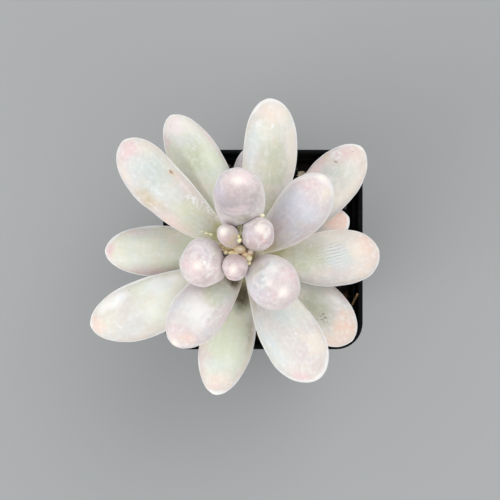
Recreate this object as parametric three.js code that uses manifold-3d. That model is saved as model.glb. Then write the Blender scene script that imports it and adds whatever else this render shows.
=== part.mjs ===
// A potted pachyphytum: a short, fleshy-leaved succulent in a square black nursery pot.
// Millimetres, +Z up. The origin is the middle of the pot's flat underside, and the pot's sides face X and Y.
// Plump leaves leave a leaning stem one by one, each turned by the golden angle from the last.
import * as THREE from "three";
import { LoftGeometry } from "three/addons/geometries/LoftGeometry.js";
import { mergeVertices } from "three/addons/utils/BufferGeometryUtils.js";
import Module from "manifold-3d";

const wasm = await Module();
wasm.setup();

// Clearance left between pieces that touch.
const GAP = 0.3;

// Pot: a tapered square tub with round corners, a thicker lip and drain holes.
const POT_HEIGHT = 57;
const POT_LIP_HALF = 30.4;
const POT_LIP_HEIGHT = 3.6;
const POT_LIP_PROUD = 0.7;
const POT_LIP_EASE = 0.3;
const POT_BASE_HALF = 22.4;
const POT_CORNER = { base: 5.6, rim: 7.4 };
const POT_WALL = 0.9;
const POT_FLOOR = 1.2;
const POT_FOOT_CHAMFER = 0.8;
const POT_CORNER_STEPS = 5;
const DRAIN_RADIUS = 3.2;
const DRAIN_SIDES = 20;
const DRAIN_FROM_CENTRE = 15.5;

// Potting mix, with its surface below the rim and coarse grains lying in it.
const SOIL_TOP = 48.4;
const SOIL_CROWN = 0.3;
const SOIL_EDGE_EASE = 0.25;
const SOIL_RINGS = 9;
const SOIL_SWELLS = [
  { height: 0.45, alongX: 0.31, alongY: 0.27 },
  { height: 0.28, alongX: 0.83, alongY: 0.57 },
  { height: 0.22, alongX: -0.41, alongY: 1.13 },
];
const GRAIN_COUNT = 48;
const GRAIN_SIZE = { least: 0.9, most: 2.1 };
const GRAIN_WIDTH = { least: 0.6, most: 0.95 };
const GRAIN_DEPTH = { least: 0.5, most: 0.8 };
const GRAIN_TILT = 0.6;
const GRAIN_PROUD = 0.12;
const GRAIN_CLEAR = 1;
const GRAIN_SEED = 11;

// Stem: rooted left of the pot's middle and leaning further left as it rises.
const STEM_FOOT = new THREE.Vector3(-3.0, 0.65, SOIL_TOP);
const STEM_HEAD = new THREE.Vector3(-5.7, -0.75, 87.5);
const STEM_RADIUS = { foot: 3.7, head: 2.3 };
const STEM_SIDES = 14;
const STEM_ROWS = 22;
const ROOT_DEPTH = 17;
const ROOT_TIP = 0.35;
const SCAR = { proud: 0.35, around: 3, climb: 1.1 };

// Leaves, from the youngest at the head to the oldest at the foot.
const GOLDEN_ANGLE = 137.508;
const FIRST_TURN = 120.5;
const FIRST_LEAF_DROP = 1.6;
const LEAF_PITCH = 1.3;
// Each row gives how far a leaf stands off its golden-angle place (swing), how far it turns to its left
// on the way out (sway), how steeply it leaves the stem and how steeply it ends (rise and tip), all in
// degrees, then its length and width, how slim it is below its middle (waist) and how blunt its end is.
const LEAVES = [
  { swing: 14, sway: 10, rise: 58, tip: 72, length: 16.5, width: 5.5, waist: 2, blunt: 2.2 },
  { swing: -17, sway: 5, rise: 60, tip: 84, length: 15.5, width: 7.25, waist: 2, blunt: 2 },
  { swing: 17, sway: -3, rise: 60, tip: 77, length: 18.25, width: 9.25, waist: 1.75, blunt: 1.8 },
  { swing: 25, sway: 10, rise: 24, tip: 90, length: 22, width: 13.5, waist: 2.2, blunt: 1.75 },
  { swing: 5, sway: 15, rise: 48, tip: 74, length: 27.75, width: 13.75, waist: 1.5, blunt: 2.25 },
  { swing: 8, sway: -4, rise: 46, tip: 71, length: 32.75, width: 13.75, waist: 1.3, blunt: 2.8 },
  { swing: 7.5, sway: 6, rise: 20, tip: 35, length: 33.5, width: 15.25, waist: 1, blunt: 1.75 },
  { swing: 42.5, sway: 38, rise: 26, tip: 42, length: 33, width: 14.25, waist: 1.1, blunt: 2 },
  { swing: -3, sway: -29, rise: 12, tip: 12, length: 45.25, width: 14.5, waist: 1.4, blunt: 2.9 },
  { swing: 22, sway: 16, rise: 12, tip: 24, length: 40.5, width: 16.75, waist: 1.8, blunt: 2.6 },
  { swing: 27, sway: 29, rise: 8, tip: 20, length: 42.5, width: 15.25, waist: 1.2, blunt: 2.3 },
  { swing: 12, sway: -25, rise: 4, tip: 11, length: 48, width: 16.75, waist: 2, blunt: 2.3 },
  { swing: 30, sway: 32, rise: 4, tip: 7, length: 36.5, width: 16.5, waist: 1.6, blunt: 2.5 },
  { swing: 12, sway: 0, rise: -2, tip: 12, length: 43, width: 14.75, waist: 1, blunt: 2 },
  { swing: 11, sway: -2, rise: -4, tip: 9, length: 41.5, width: 15.5, waist: 1.25, blunt: 1.9 },
  { swing: 20, sway: 23, rise: -4, tip: 10, length: 43, width: 15.5, waist: 1.1, blunt: 2.2 },
  { swing: 20, sway: -2, rise: -4, tip: 8, length: 40.5, width: 15, waist: 1.1, blunt: 2.1 },
  { swing: 20, sway: -3, rise: -4, tip: 8, length: 38.75, width: 16.5, waist: 1.2, blunt: 2.4 },
  { swing: 12, sway: 0, rise: -4, tip: 6, length: 29, width: 12, waist: 1.1, blunt: 2.2 },
  { swing: 11, sway: 0, rise: -4, tip: 6, length: 31, width: 11.5, waist: 1.1, blunt: 2.2 },
  { swing: 27, sway: 6, rise: -8, tip: 5, length: 29.25, width: 12, waist: 1.1, blunt: 2.2 },
  { swing: 15, sway: 0, rise: -8, tip: 4, length: 24, width: 9.5, waist: 1.1, blunt: 2.2 },
  { swing: 15, sway: 0, rise: -8, tip: 4, length: 22, width: 9, waist: 1.1, blunt: 2.2 },
];
// A leaf is nearly round while it is young, and is full grown and a little flatter from this row on.
const RIPE_LEAF = 8;
const THICKNESS = { young: 0.96, old: 0.84 };
const NECK = 0.3;
const WIDEST_AT = 0.64;
const END_ROUNDNESS = 0.52;
const UPPER_SHARE = 0.46;
const STEM_INSET = 0.6;
const LEAF_SIDES = 12;
const LEAF_STEPS = 10;
const LAST_RING = 0.995;
const RING_CROWDING = 0.75;

// Growing tip: bead-like leaf buds packed round the head of the stem.
const BUD_COUNT = 9;
const BUD_RADIUS = { middle: 1.4, outer: 0.95 };
const BUD_LENGTH = 1.25;
const BUD_SPREAD = 2.4;
const BUD_HEIGHT = { middle: 3.6, outer: 2.2 };
const PAD = { radius: 1.8, height: 2.6, sides: 14 };

const materials = {
  pot: new THREE.MeshStandardMaterial({ color: 0x131415, roughness: 0.42, metalness: 0 }),
  soil: new THREE.MeshStandardMaterial({ color: 0x2b2019, roughness: 0.95, metalness: 0 }),
  stem: new THREE.MeshStandardMaterial({ color: 0x8d8a62, roughness: 0.8, metalness: 0 }),
  bud: new THREE.MeshStandardMaterial({ color: 0xd8bd92, roughness: 0.5, metalness: 0 }),
  youngLeaf: new THREE.MeshStandardMaterial({ color: 0xdcd5da, roughness: 0.6, metalness: 0 }),
  oldLeaf: new THREE.MeshStandardMaterial({ color: 0xd4dacd, roughness: 0.6, metalness: 0 }),
};

// A repeatable run of numbers from 0 to 1.
function seededRandom(seed) {
  let state = seed;
  return () => {
    state = (state * 1664525 + 1013904223) % 4294967296;
    return state / 4294967296;
  };
}

function mix(a, b, share) {
  return a + (b - a) * share;
}

function between(range, share) {
  return mix(range.least, range.most, share);
}

function turnOf(step, steps) {
  return (step / steps) * 2 * Math.PI;
}

function solidFrom(geometry) {
  const bare = new THREE.BufferGeometry().setAttribute("position", geometry.attributes.position);
  const merged = mergeVertices(bare.setIndex(geometry.index));
  return new wasm.Manifold(
    new wasm.Mesh({
      numProp: 3,
      vertProperties: new Float32Array(merged.attributes.position.array),
      triVerts: new Uint32Array(merged.index.array),
    }),
  );
}

function skin(sections) {
  return new LoftGeometry(sections, { capStart: true, capEnd: true });
}

// The named mesh of a solid's biggest body: scraps left by a cut are dropped.
function pieceFrom(name, solid, material) {
  const bodies = solid.decompose();
  bodies.sort((a, b) => b.volume() - a.volume());
  const { vertProperties, triVerts } = bodies[0].getMesh();
  const geometry = new THREE.BufferGeometry();
  geometry.setAttribute("position", new THREE.BufferAttribute(vertProperties, 3));
  geometry.setIndex(new THREE.BufferAttribute(triVerts, 1));
  geometry.computeVertexNormals();
  const mesh = new THREE.Mesh(geometry, material);
  mesh.name = name;
  return mesh;
}

// A level square with round corners, as points going anticlockwise seen from above.
function roundedSquare(half, corner, z) {
  const points = [];
  const middle = new THREE.Vector2();
  for (let quarter = 0; quarter < 4; quarter++) {
    const start = turnOf(quarter, 4);
    const centre = new THREE.Vector2(half - corner, half - corner).rotateAround(middle, start);
    for (let step = 0; step <= POT_CORNER_STEPS; step++) {
      const turn = start + turnOf(step, 4 * POT_CORNER_STEPS);
      const x = centre.x + corner * Math.cos(turn);
      points.push(new THREE.Vector3(x, centre.y + corner * Math.sin(turn), z));
    }
  }
  return points;
}

// The pot's outer wall at a height, moved in or out by an inset, without the lip.
function wallSection(z, inset) {
  const half = mix(POT_BASE_HALF, POT_LIP_HALF - POT_LIP_PROUD, z / POT_HEIGHT);
  const corner = mix(POT_CORNER.base, POT_CORNER.rim, z / POT_HEIGHT);
  return roundedSquare(half - inset, corner - inset, z);
}

function drainHole(quarter) {
  const drain = new THREE.CylinderGeometry(DRAIN_RADIUS, DRAIN_RADIUS, 4 * POT_FLOOR, DRAIN_SIDES);
  drain.rotateX(Math.PI / 2);
  drain.translate(DRAIN_FROM_CENTRE, DRAIN_FROM_CENTRE, 0);
  drain.rotateZ(turnOf(quarter, 4));
  return solidFrom(drain);
}

function makePot() {
  const lipFoot = POT_HEIGHT - POT_LIP_HEIGHT;
  const outside = skin([
    wallSection(0, POT_FOOT_CHAMFER),
    wallSection(POT_FOOT_CHAMFER, 0),
    wallSection(lipFoot, 0),
    wallSection(lipFoot + POT_LIP_EASE, -POT_LIP_PROUD),
    wallSection(POT_HEIGHT - POT_LIP_EASE, -POT_LIP_PROUD),
    wallSection(POT_HEIGHT, POT_LIP_EASE - POT_LIP_PROUD),
  ]);
  const inside = skin([wallSection(POT_FLOOR, POT_WALL), wallSection(POT_HEIGHT + GAP, POT_WALL)]);
  let pot = solidFrom(outside).subtract(solidFrom(inside));
  for (let quarter = 0; quarter < 4; quarter++) pot = pot.subtract(drainHole(quarter));
  return pieceFrom("pot", pot, materials.pot);
}

// How far the surface of the potting mix swells above or below its level at a place.
function soilSwell(x, y) {
  let swell = 0;
  for (const wave of SOIL_SWELLS) swell += wave.height * Math.sin(x * wave.alongX + y * wave.alongY);
  return swell;
}

// The filling of the pot: its top is a set of shrinking rings, lifted and dipped by the swells.
function soilBed() {
  const floor = POT_FLOOR + GAP;
  const clear = POT_WALL + GAP;
  const sections = [wallSection(floor, clear)];
  for (let ring = 0; ring <= SOIL_RINGS; ring++) {
    const share = 1 - ring / (SOIL_RINGS + GAP);
    const crown = new THREE.Vector3(share, share, 1 + (SOIL_CROWN * (1 - share)) / SOIL_TOP);
    sections.push(wallSection(SOIL_TOP, clear + SOIL_EDGE_EASE).map((point) => point.multiply(crown)));
  }
  const bed = skin(sections);
  const points = bed.attributes.position;
  for (let i = 0; i < points.count; i++) {
    const surface = points.getZ(i) > SOIL_TOP / 2;
    if (surface) points.setZ(i, points.getZ(i) + soilSwell(points.getX(i), points.getY(i)));
  }
  return solidFrom(bed);
}

// A grain of bark or grit, lying half sunk in the surface, or nothing where the stem stands.
function grain(random) {
  const reach = wallSection(SOIL_TOP, POT_WALL + GAP + GRAIN_SIZE.most)[0].x;
  const x = mix(-reach, reach, random());
  const y = mix(-reach, reach, random());
  const size = between(GRAIN_SIZE, random() ** 2);
  const lump = new THREE.IcosahedronGeometry(size, 0);
  lump.scale(1, between(GRAIN_WIDTH, random()), between(GRAIN_DEPTH, random()));
  lump.rotateZ(random() * Math.PI);
  lump.rotateX(random() * GRAIN_TILT);
  lump.translate(x, y, SOIL_TOP + soilSwell(x, y) + size * GRAIN_PROUD);
  const fromStem = Math.hypot(x - STEM_FOOT.x, y - STEM_FOOT.y);
  return fromStem > STEM_RADIUS.foot + size + GRAIN_CLEAR ? solidFrom(lump) : null;
}

function makeSoil(stemRoom) {
  const random = seededRandom(GRAIN_SEED);
  let soil = soilBed();
  for (let i = 0; i < GRAIN_COUNT; i++) {
    const lump = grain(random);
    if (lump) soil = soil.add(lump);
  }
  return pieceFrom("soil", soil.subtract(stemRoom), materials.soil);
}

// A point of the stem's middle line, by height.
function stemAt(z) {
  return STEM_FOOT.clone().lerp(STEM_HEAD, (z - STEM_FOOT.z) / (STEM_HEAD.z - STEM_FOOT.z));
}

function stemRadiusAt(z) {
  const share = (z - STEM_FOOT.z) / (STEM_HEAD.z - STEM_FOOT.z);
  return mix(STEM_RADIUS.foot, STEM_RADIUS.head, Math.max(share, 0));
}

// The stem, or the room that it needs when grown by a clearance. Old leaf scars climb it as low bumps,
// and below the surface it narrows to a root.
function stemSolid(grow) {
  const low = SOIL_TOP - ROOT_DEPTH;
  const sections = [];
  for (let row = 0; row <= STEM_ROWS; row++) {
    const z = mix(low, STEM_HEAD.z, row / STEM_ROWS);
    const centre = stemAt(z);
    const rooted = mix(ROOT_TIP, 1, THREE.MathUtils.smoothstep(z, low, SOIL_TOP));
    const points = [];
    for (let side = 0; side < STEM_SIDES; side++) {
      const turn = turnOf(side, STEM_SIDES);
      const bump = grow ? 1 : Math.max(0, Math.sin(SCAR.around * turn + SCAR.climb * z));
      const radius = (stemRadiusAt(z) + SCAR.proud * bump) * rooted + grow;
      points.push(new THREE.Vector3(radius * Math.cos(turn), radius * Math.sin(turn), 0).add(centre));
    }
    sections.push(points);
  }
  return solidFrom(skin(sections));
}

// How wide a leaf is at a share of its length, as a share of its full width.
function leafOutline(along, leaf) {
  if (along <= WIDEST_AT) {
    const filling = Math.sin(((along / WIDEST_AT) * Math.PI) / 2);
    return mix(NECK, 1, filling ** leaf.waist);
  }
  const past = (along - WIDEST_AT) / (1 - WIDEST_AT);
  return (1 - past ** leaf.blunt) ** END_ROUNDNESS;
}

// The way a leaf grows at a share of its length, with its own left and its upper face.
function leafHeading(along, number, leaf) {
  const swayed = leaf.swing + leaf.sway * (along - 0.5);
  const turn = THREE.MathUtils.degToRad(FIRST_TURN + number * GOLDEN_ANGLE + swayed);
  const lift = THREE.MathUtils.degToRad(mix(leaf.rise, leaf.tip, along));
  const side = new THREE.Vector3(-Math.sin(turn), Math.cos(turn), 0);
  const ahead = new THREE.Vector3(Math.cos(turn), Math.sin(turn), 0).multiplyScalar(Math.cos(lift));
  ahead.z = Math.sin(lift);
  const face = new THREE.Vector3().crossVectors(ahead, side);
  return { ahead, side, face };
}

// An oval ring of a leaf round a place on its middle line, with the upper half a little flatter.
function leafRing(place, heading, halfWidth, depth, grow) {
  const points = [];
  for (let k = 0; k < LEAF_SIDES; k++) {
    const turn = turnOf(k, LEAF_SIDES);
    const share = Math.sin(turn) > 0 ? UPPER_SHARE : 1 - UPPER_SHARE;
    const across = Math.cos(turn) * (halfWidth + grow);
    const deep = Math.sin(turn) * (depth * share + grow);
    points.push(place.clone().addScaledVector(heading.side, across).addScaledVector(heading.face, deep));
  }
  return points;
}

// A leaf starts inside the stem and is skinned over rings that crowd together towards its round end.
function leafSolid(number, leaf, grow) {
  const ripeness = Math.min(number / RIPE_LEAF, 1);
  const depth = leaf.width * mix(THICKNESS.young, THICKNESS.old, ripeness);
  const height = STEM_HEAD.z - FIRST_LEAF_DROP - number * LEAF_PITCH;
  const root = leafHeading(0, number, leaf).ahead;
  const place = stemAt(height).addScaledVector(root, STEM_INSET * stemRadiusAt(height));
  const sections = [];
  let reached = 0;
  for (let step = 0; step <= LEAF_STEPS; step++) {
    const even = step / LEAF_STEPS;
    const along = Math.min(LAST_RING, mix(even, Math.sin((even * Math.PI) / 2), RING_CROWDING));
    const halfway = leafHeading((along + reached) / 2, number, leaf).ahead;
    place.addScaledVector(halfway, (along - reached) * leaf.length);
    reached = along;
    const spread = leafOutline(along, leaf);
    const heading = leafHeading(along, number, leaf);
    sections.push(leafRing(place, heading, (spread * leaf.width) / 2, spread * depth, grow));
  }
  return solidFrom(skin(sections));
}

function budAt(place, radius) {
  const bud = new THREE.IcosahedronGeometry(radius, 1);
  bud.scale(1, 1, BUD_LENGTH);
  bud.translate(place.x, place.y, place.z);
  return solidFrom(bud);
}

function makeGrowingTip() {
  const head = STEM_HEAD.clone();
  head.z += GAP;
  const pad = new THREE.CylinderGeometry(PAD.radius, PAD.radius, PAD.height, PAD.sides);
  pad.rotateX(Math.PI / 2);
  pad.translate(head.x, head.y, head.z + PAD.height / 2);
  let tip = solidFrom(pad);
  for (let bud = 0; bud <= BUD_COUNT; bud++) {
    const turn = THREE.MathUtils.degToRad(bud * GOLDEN_ANGLE);
    const share = Math.sqrt(bud / BUD_COUNT);
    const place = new THREE.Vector3(Math.cos(turn), Math.sin(turn), 0).multiplyScalar(BUD_SPREAD * share);
    place.z = mix(BUD_HEIGHT.middle, BUD_HEIGHT.outer, share);
    tip = tip.add(budAt(place.add(head), mix(BUD_RADIUS.middle, BUD_RADIUS.outer, share)));
  }
  return tip;
}

const stemRoom = stemSolid(GAP);
const growingTip = makeGrowingTip();
const plant = new THREE.Group();
plant.add(makePot());
plant.add(makeSoil(stemRoom));
plant.add(pieceFrom("stem", stemSolid(0), materials.stem));
plant.add(pieceFrom("growing_tip", growingTip, materials.bud));

// A younger leaf presses its shape into the older ones below it.
let pressing = stemRoom.add(growingTip);
LEAVES.forEach((leaf, number) => {
  const name = "leaf_" + String(number + 1).padStart(2, "0");
  const material = number < RIPE_LEAF ? materials.youngLeaf : materials.oldLeaf;
  plant.add(pieceFrom(name, leafSolid(number, leaf, 0).subtract(pressing), material));
  pressing = pressing.add(leafSolid(number, leaf, GAP));
});

export default plant;
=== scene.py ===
"""A small potted pachyphytum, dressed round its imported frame.

Laid out as an add-on: settings, one operator for each piece or group of like pieces, and a sidebar panel.
Everything is in metres in the frame's own place, with +Z up. The origin is the middle of the pot's underside.
"""

import math
import random
from bisect import bisect_left
from collections import namedtuple
from functools import partial

import bmesh
import bpy
from mathutils import Euler, Matrix, Vector, noise
from mathutils.bvhtree import BVHTree


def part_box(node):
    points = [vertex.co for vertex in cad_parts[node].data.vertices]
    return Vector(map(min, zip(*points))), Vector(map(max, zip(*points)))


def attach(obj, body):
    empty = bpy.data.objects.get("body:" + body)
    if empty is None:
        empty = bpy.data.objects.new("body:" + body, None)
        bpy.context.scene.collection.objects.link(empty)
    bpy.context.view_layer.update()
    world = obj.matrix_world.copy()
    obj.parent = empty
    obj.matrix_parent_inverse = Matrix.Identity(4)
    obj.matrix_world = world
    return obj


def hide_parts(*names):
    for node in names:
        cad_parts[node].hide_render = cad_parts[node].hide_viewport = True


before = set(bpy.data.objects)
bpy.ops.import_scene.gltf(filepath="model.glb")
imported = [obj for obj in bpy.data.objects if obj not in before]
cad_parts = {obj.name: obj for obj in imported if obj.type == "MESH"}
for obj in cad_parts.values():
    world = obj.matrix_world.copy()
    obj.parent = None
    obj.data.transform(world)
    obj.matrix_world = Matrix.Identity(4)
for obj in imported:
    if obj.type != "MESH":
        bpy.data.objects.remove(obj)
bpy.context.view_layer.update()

bl_info = {
    "name": "Potted pachyphytum",
    "version": (1, 0, 0),
    "blender": (4, 5, 0),
    "location": "3D View > Sidebar > Pachyphytum",
    "description": "Grows a plump-leaved succulent in a square black nursery pot",
    "category": "Add Mesh",
}

MM = 0.001
BODY = "root"

# Stage: the camera looks straight down from beside the pot's middle.
FLOOR_HALF = 3
CAMERA_ACROSS = -3.9 * MM
CAMERA_DEEP = -0.15 * MM
SENSOR_MM = 36
# Soft lights: place, side in metres, and power as a share of the key light's.
LIGHTS = {
    "key": ((0.5, 0.75, 1.0), 1.1, 1.0),
    "fill": ((-0.85, -0.62, 0.55), 0.9, 0.85),
    "side": ((0.8, -0.85, 0.45), 0.8, 0.25),
}

# Pot: its lip comes from the frame, and the wall below it is the frame's own taper.
POT_LOW, POT_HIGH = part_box("pot")
WALL_RIM_HALF = 29.7 * MM
WALL_BASE_HALF = 22.4 * MM
CORNER_BASE = 5.6 * MM
CORNER_RIM = 7.4 * MM
CORNER_STEPS = 10
POT_FLOOR = 1.2 * MM
DRAIN_FROM_CENTRE = 15.5 * MM
DRAIN_SIDES = 28
SHARPEST_SMOOTH_EDGE = math.radians(35)

# Potting mix: its surface, and the inner wall that it keeps clear of.
MIX_TOP = 48.4 * MM
MIX_CLEAR = 1.5 * MM
MIX_FLOOR = 1.6 * MM
MIX_SQUARES = 108
MIX_SEED = 23
# Its swells, crumbs and grit: the height of each, its size across and a shift of its noise.
MIX_RELIEF = [
    (0.55 * MM, 7 * MM, (0, 0, 0)),
    (0.5 * MM, 2.2 * MM, (9, 0, 0)),
    (0.3 * MM, 0.9 * MM, (0, 9, 0)),
]
# How far the surface dips where the stem goes in, and over what width.
STEM_DIP = 6 * MM
STEM_DIP_EDGE = 0.8 * MM

# What lies on the mix. The numbers are the places of its materials on the piece.
PEAT, BARK, GRIT, PUMICE, COIR = range(5)
Grain = namedtuple("Grain", "up_to least most flatness tilt material")
# Each kind's share of the grains, summed from the top, its sizes in millimetres, how flat it is and its tilt.
GRAINS = [
    Grain(0.5, 0.5, 1.2, 0.8, 0.8, PEAT),
    Grain(0.86, 0.9, 2.8, 0.42, 0.5, BARK),
    Grain(0.97, 0.5, 1.3, 0.8, 0.8, GRIT),
    Grain(1.0, 0.9, 1.9, 0.85, 0.8, PUMICE),
]
# The bits that lie in sight at the pot's right-hand side: place, size, flatness, tilt and material.
BITS_IN_SIGHT = [
    (12.2, 23.2, 49.4, 3.2, 0.7, 0.4, PUMICE),
    (15.0, 22.6, 49.0, 1.7, 0.8, 0.4, PUMICE),
    (25.3, -14.6, 49.2, 3.4, 0.5, 0.5, BARK),
    (24.0, -16.9, 49.0, 2.4, 0.5, 0.5, BARK),
    (25.6, 13.2, 49.3, 1.8, 0.6, 0.5, GRIT),
]
GRAIN_LIFT = 0.1 * MM
GRAIN_KNOCK = 0.09
# How clear the loose bits stay of the wall and of the stem.
WALL_MARGIN = 0.9 * MM
STEM_MARGIN = 1 * MM
FIBRE_LIFT = 0.3 * MM
FIBRE_SIDES = 5
FIBRE_STEPS = 7
FIBRE_RADIUS = 0.11 * MM
TWIG_FOOT = Vector((26.7, -19.0, 50.3)) * MM
TWIG_HEADING = Vector((0.19, 0.57, 0.8)).normalized()
TWIG_LENGTH = 8.9 * MM
TWIG_RADIUS = 0.33 * MM
TWIG_SEED = 5

# Stem: its middle line runs straight from the foot to the head.
STEM_FOOT = Vector((-3.0, 0.65, 48.4)) * MM
STEM_HEAD = Vector((-5.7, -0.75, 87.5)) * MM
STEM_RADIUS_FOOT = 3.7 * MM
STEM_RADIUS_HEAD = 2.3 * MM
ROOT_DEPTH = 12 * MM
ROOT_TIP = 0.4
STEM_ROWS = 84
STEM_SIDES = 44
STEM_ROUGHNESS = 0.25 * MM
# Scars of the leaves that have dropped, below the lowest leaf.
SCAR_COUNT = 9
SCAR_TURN = 15
SCAR_HALF_WIDTH = 2.1 * MM
SCAR_HALF_HEIGHT = 1 * MM

# Leaves: how they leave the stem, each one turned by the golden angle from the last.
GOLDEN_ANGLE = 137.508
FIRST_TURN = 120.5
FIRST_LEAF_DROP = 1.6 * MM
LEAF_PITCH = 1.3 * MM
STEM_INSET = 0.6
RIPE_LEAF = 8
THICKNESS_YOUNG = 0.96
THICKNESS_OLD = 0.84
NECK = 0.3
ROOT_CAP = 0.02
WIDEST_AT = 0.64
END_ROUNDNESS = 0.52
UPPER_SHARE = 0.46
PROFILE_STEPS = 600
ROOT_CAP_STEPS = 40
NECK_COLOUR_FROM = 0.1
NECK_COLOUR_TO = 0.42
NECK_STRENGTH = 0.95
PIT_DEPTH = 0.35 * MM
# Colour drifts over a leaf, and the patches' outlines wander and fray: strengths, and sizes in millimetres.
DRIFT = 0.5
DRIFT_SIZE = 9
WANDER = 2.0
WANDER_SIZE = 4
FRAY = 0.6
FRAY_SIZE = 1.2
BLEMISH_WANDER = 0.2
NOISE_SEED = 3
PATCH_CORE = 0.25
# Slow swells and quicker ones, by their size, and the small nib at the very tip.
SWELL_SIZE = 9 * MM
QUICK_SWELL_SIZE = 3.2 * MM
QUICK_SWELL_SHARE = 0.25
NIB_HEIGHT = 0.12 * MM
NIB_SPREAD = 0.7
# Soft flats, where a leaf grew against another: how many, how deep and how long, as shares.
FLAT_COUNT = 4
FLAT_DEPTH = 0.8
FLAT_INNER = 0.15
FLAT_OUTER = 0.3
# Where a younger leaf lies on an older one: how near it rubs the bloom, and the deepest dent as a share.
RUB_REACH = 1.2 * MM
DEEPEST_DENT = 0.55
FACING = 0.8

LeafForm = namedtuple("LeafForm", "swing sway rise tip length width waist blunt green blush warmth")
# From the youngest leaf to the oldest. Degrees: how far the leaf stands off its golden-angle place, how
# far it turns to its left on the way out, how steeply it leaves the stem and how steeply it ends.
# Millimetres: length and width. Shares: how slim it is below its middle, how blunt its end is, how green
# its flesh is under the bloom, how strong its blush is, and how far the blush goes from mauve to salmon.
LEAVES = [
    LeafForm(14, 10, 58, 72, 16.5, 5.5, 2, 2.2, 0.15, 0.6, 0.3),
    LeafForm(-17, 5, 60, 84, 15.5, 7.25, 2, 2, 0.0, 0.8, 0.15),
    LeafForm(17, -3, 60, 77, 18.25, 9.25, 1.75, 1.8, 0.0, 0.5, 0.1),
    LeafForm(25, 10, 24, 90, 22, 13.5, 2.2, 1.75, 0.0, 0.6, 0.25),
    LeafForm(5, 15, 48, 74, 27.75, 13.75, 1.5, 2.25, 0.0, 0.6, 0.25),
    LeafForm(8, -4, 46, 71, 32.75, 13.75, 1.3, 2.8, 0.1, 0.6, 0.3),
    LeafForm(7.5, 6, 20, 35, 33.5, 15.25, 1, 1.75, 0.3, 0.5, 0.3),
    LeafForm(42.5, 38, 26, 42, 33, 14.25, 1.1, 2, 0.0, 0.4, 0.5),
    LeafForm(-3, -29, 12, 12, 45.25, 14.5, 1.4, 2.9, 0.4, 0.5, 0.4),
    LeafForm(22, 16, 12, 24, 40.5, 16.75, 1.8, 2.6, 0.4, 0.45, 0.5),
    LeafForm(27, 29, 8, 20, 42.5, 15.25, 1.2, 2.3, 0.5, 0.4, 0.7),
    LeafForm(12, -25, 4, 11, 48, 16.75, 2, 2.3, 0.6, 0.4, 0.6),
    LeafForm(30, 32, 4, 7, 36.5, 16.5, 1.6, 2.5, 0.45, 0.7, 1.0),
    LeafForm(12, 0, -2, 12, 43, 14.75, 1, 2, 0.85, 0.4, 0.2),
    LeafForm(11, -2, -4, 9, 41.5, 15.5, 1.25, 1.9, 0.8, 0.6, 0.4),
    LeafForm(20, 23, -4, 10, 43, 15.5, 1.1, 2.2, 0.45, 0.7, 0.8),
    LeafForm(20, -2, -4, 8, 40.5, 15, 1.1, 2.1, 0.8, 0.55, 0.5),
    LeafForm(20, -3, -4, 8, 38.75, 16.5, 1.2, 2.4, 0.4, 0.8, 1.0),
    LeafForm(12, 0, -4, 6, 29, 12, 1.1, 2.2, 0.1, 0.4, 0.1),
    LeafForm(11, 0, -4, 6, 31, 11.5, 1.1, 2.2, 0.7, 0.5, 0.5),
    LeafForm(27, 6, -8, 5, 29.25, 12, 1.1, 2.2, 0.3, 0.9, 0.8),
    LeafForm(15, 0, -8, 4, 24, 9.5, 1.1, 2.2, 0.7, 0.4, 0.5),
    LeafForm(15, 0, -8, 4, 22, 9, 1.1, 2.2, 0.7, 0.4, 0.5),
]

# Tints of skin, wax and buds, from bluish and lilac to warm and green.
FROST = "D4DBDA"
LILAC = "D3D4DC"
ROSE = "E7CCCE"
MAUVE = "C8B7B8"
PEACH = "EAD3C6"
SALMON = "ECC5B1"
CREAM = "EBE1D3"
TAN = "D4C4A8"
SAGE = "CBD2B2"
OLIVE = "8E8656"
STONE = "B8ADAC"
BERRY = "CFA5AA"
HONEY = "C9B27C"
# Painted shade for the lower side of leaf 6.
SHADE_SLATE = "A19A9F"
CLAY = "B59C99"
MOSS = "B3B79F"
# Painted shade for the leaf necks that lie deep in the shadow of the leaves above.
SHADE = "4C3F22"
MILK = "F4F5E9"
CHALK = "FBFAF8"
GOLD = "E9C99C"
STRAW = "F0E7B2"
SHELL = "F2D6C2"
LIME = "D6D692"
PEARL = "ECE2DE"
BRICK = "BFA6A0"
PETAL = "E4CFCB"
IVORY = "F4EEE4"
COPPER = "C4A090"
ORCHID = "E3D6DA"
PINK_ICE = "FBF3F7"
PINK_POWDER = "EADCDC"
OYSTER = "E9E2DE"
ICE = "E6EAEA"
LICHEN = "D0D2C8"
HEATHER = "C9C4CC"
DUSK = "C4B0B0"
PLUM = "CDBBC2"
WARM_WHITE = "FFF4EC"
VIOLET = "C3C3D2"
RIBBON = "D6C4C6"
VEIL = "D9C6C6"
# Painted light over pale pink, for the top of leaf 6.
LIT_BLOSSOM = "F6E6E8"
LYCHEE = "F0E2E8"
# Painted shade for the lower side of leaf 6.
SHADE_UMBER = "9C9488"
FOG = "C8CFCD"
BISCUIT = "CBBA9B"
PEA = "DEE2C6"
PINK_WHITE = "F5ECEA"
MELON = "DCE2C8"
DEW = "CBD0C8"
CELERY = "E3E6D2"
APRICOT = "EAC0A9"
CORAL = "FCDDCC"
BUTTER = "F2DAB4"
AMBER = "E6BE8E"
WHEAT = "EED79C"
MAIZE = "F0D8A6"
RESIN = "BBA066"
GRAPE = "BCB878"
REED = "6F6B3E"
WAX = "F6F2CA"
LEMON = "FBF6CC"
PRIMROSE = "F4F0BE"
BRASS = "A8904F"
# Painted light: the paler tops of the buds.
TOP_LIGHT = "F6E9D2"

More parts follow.
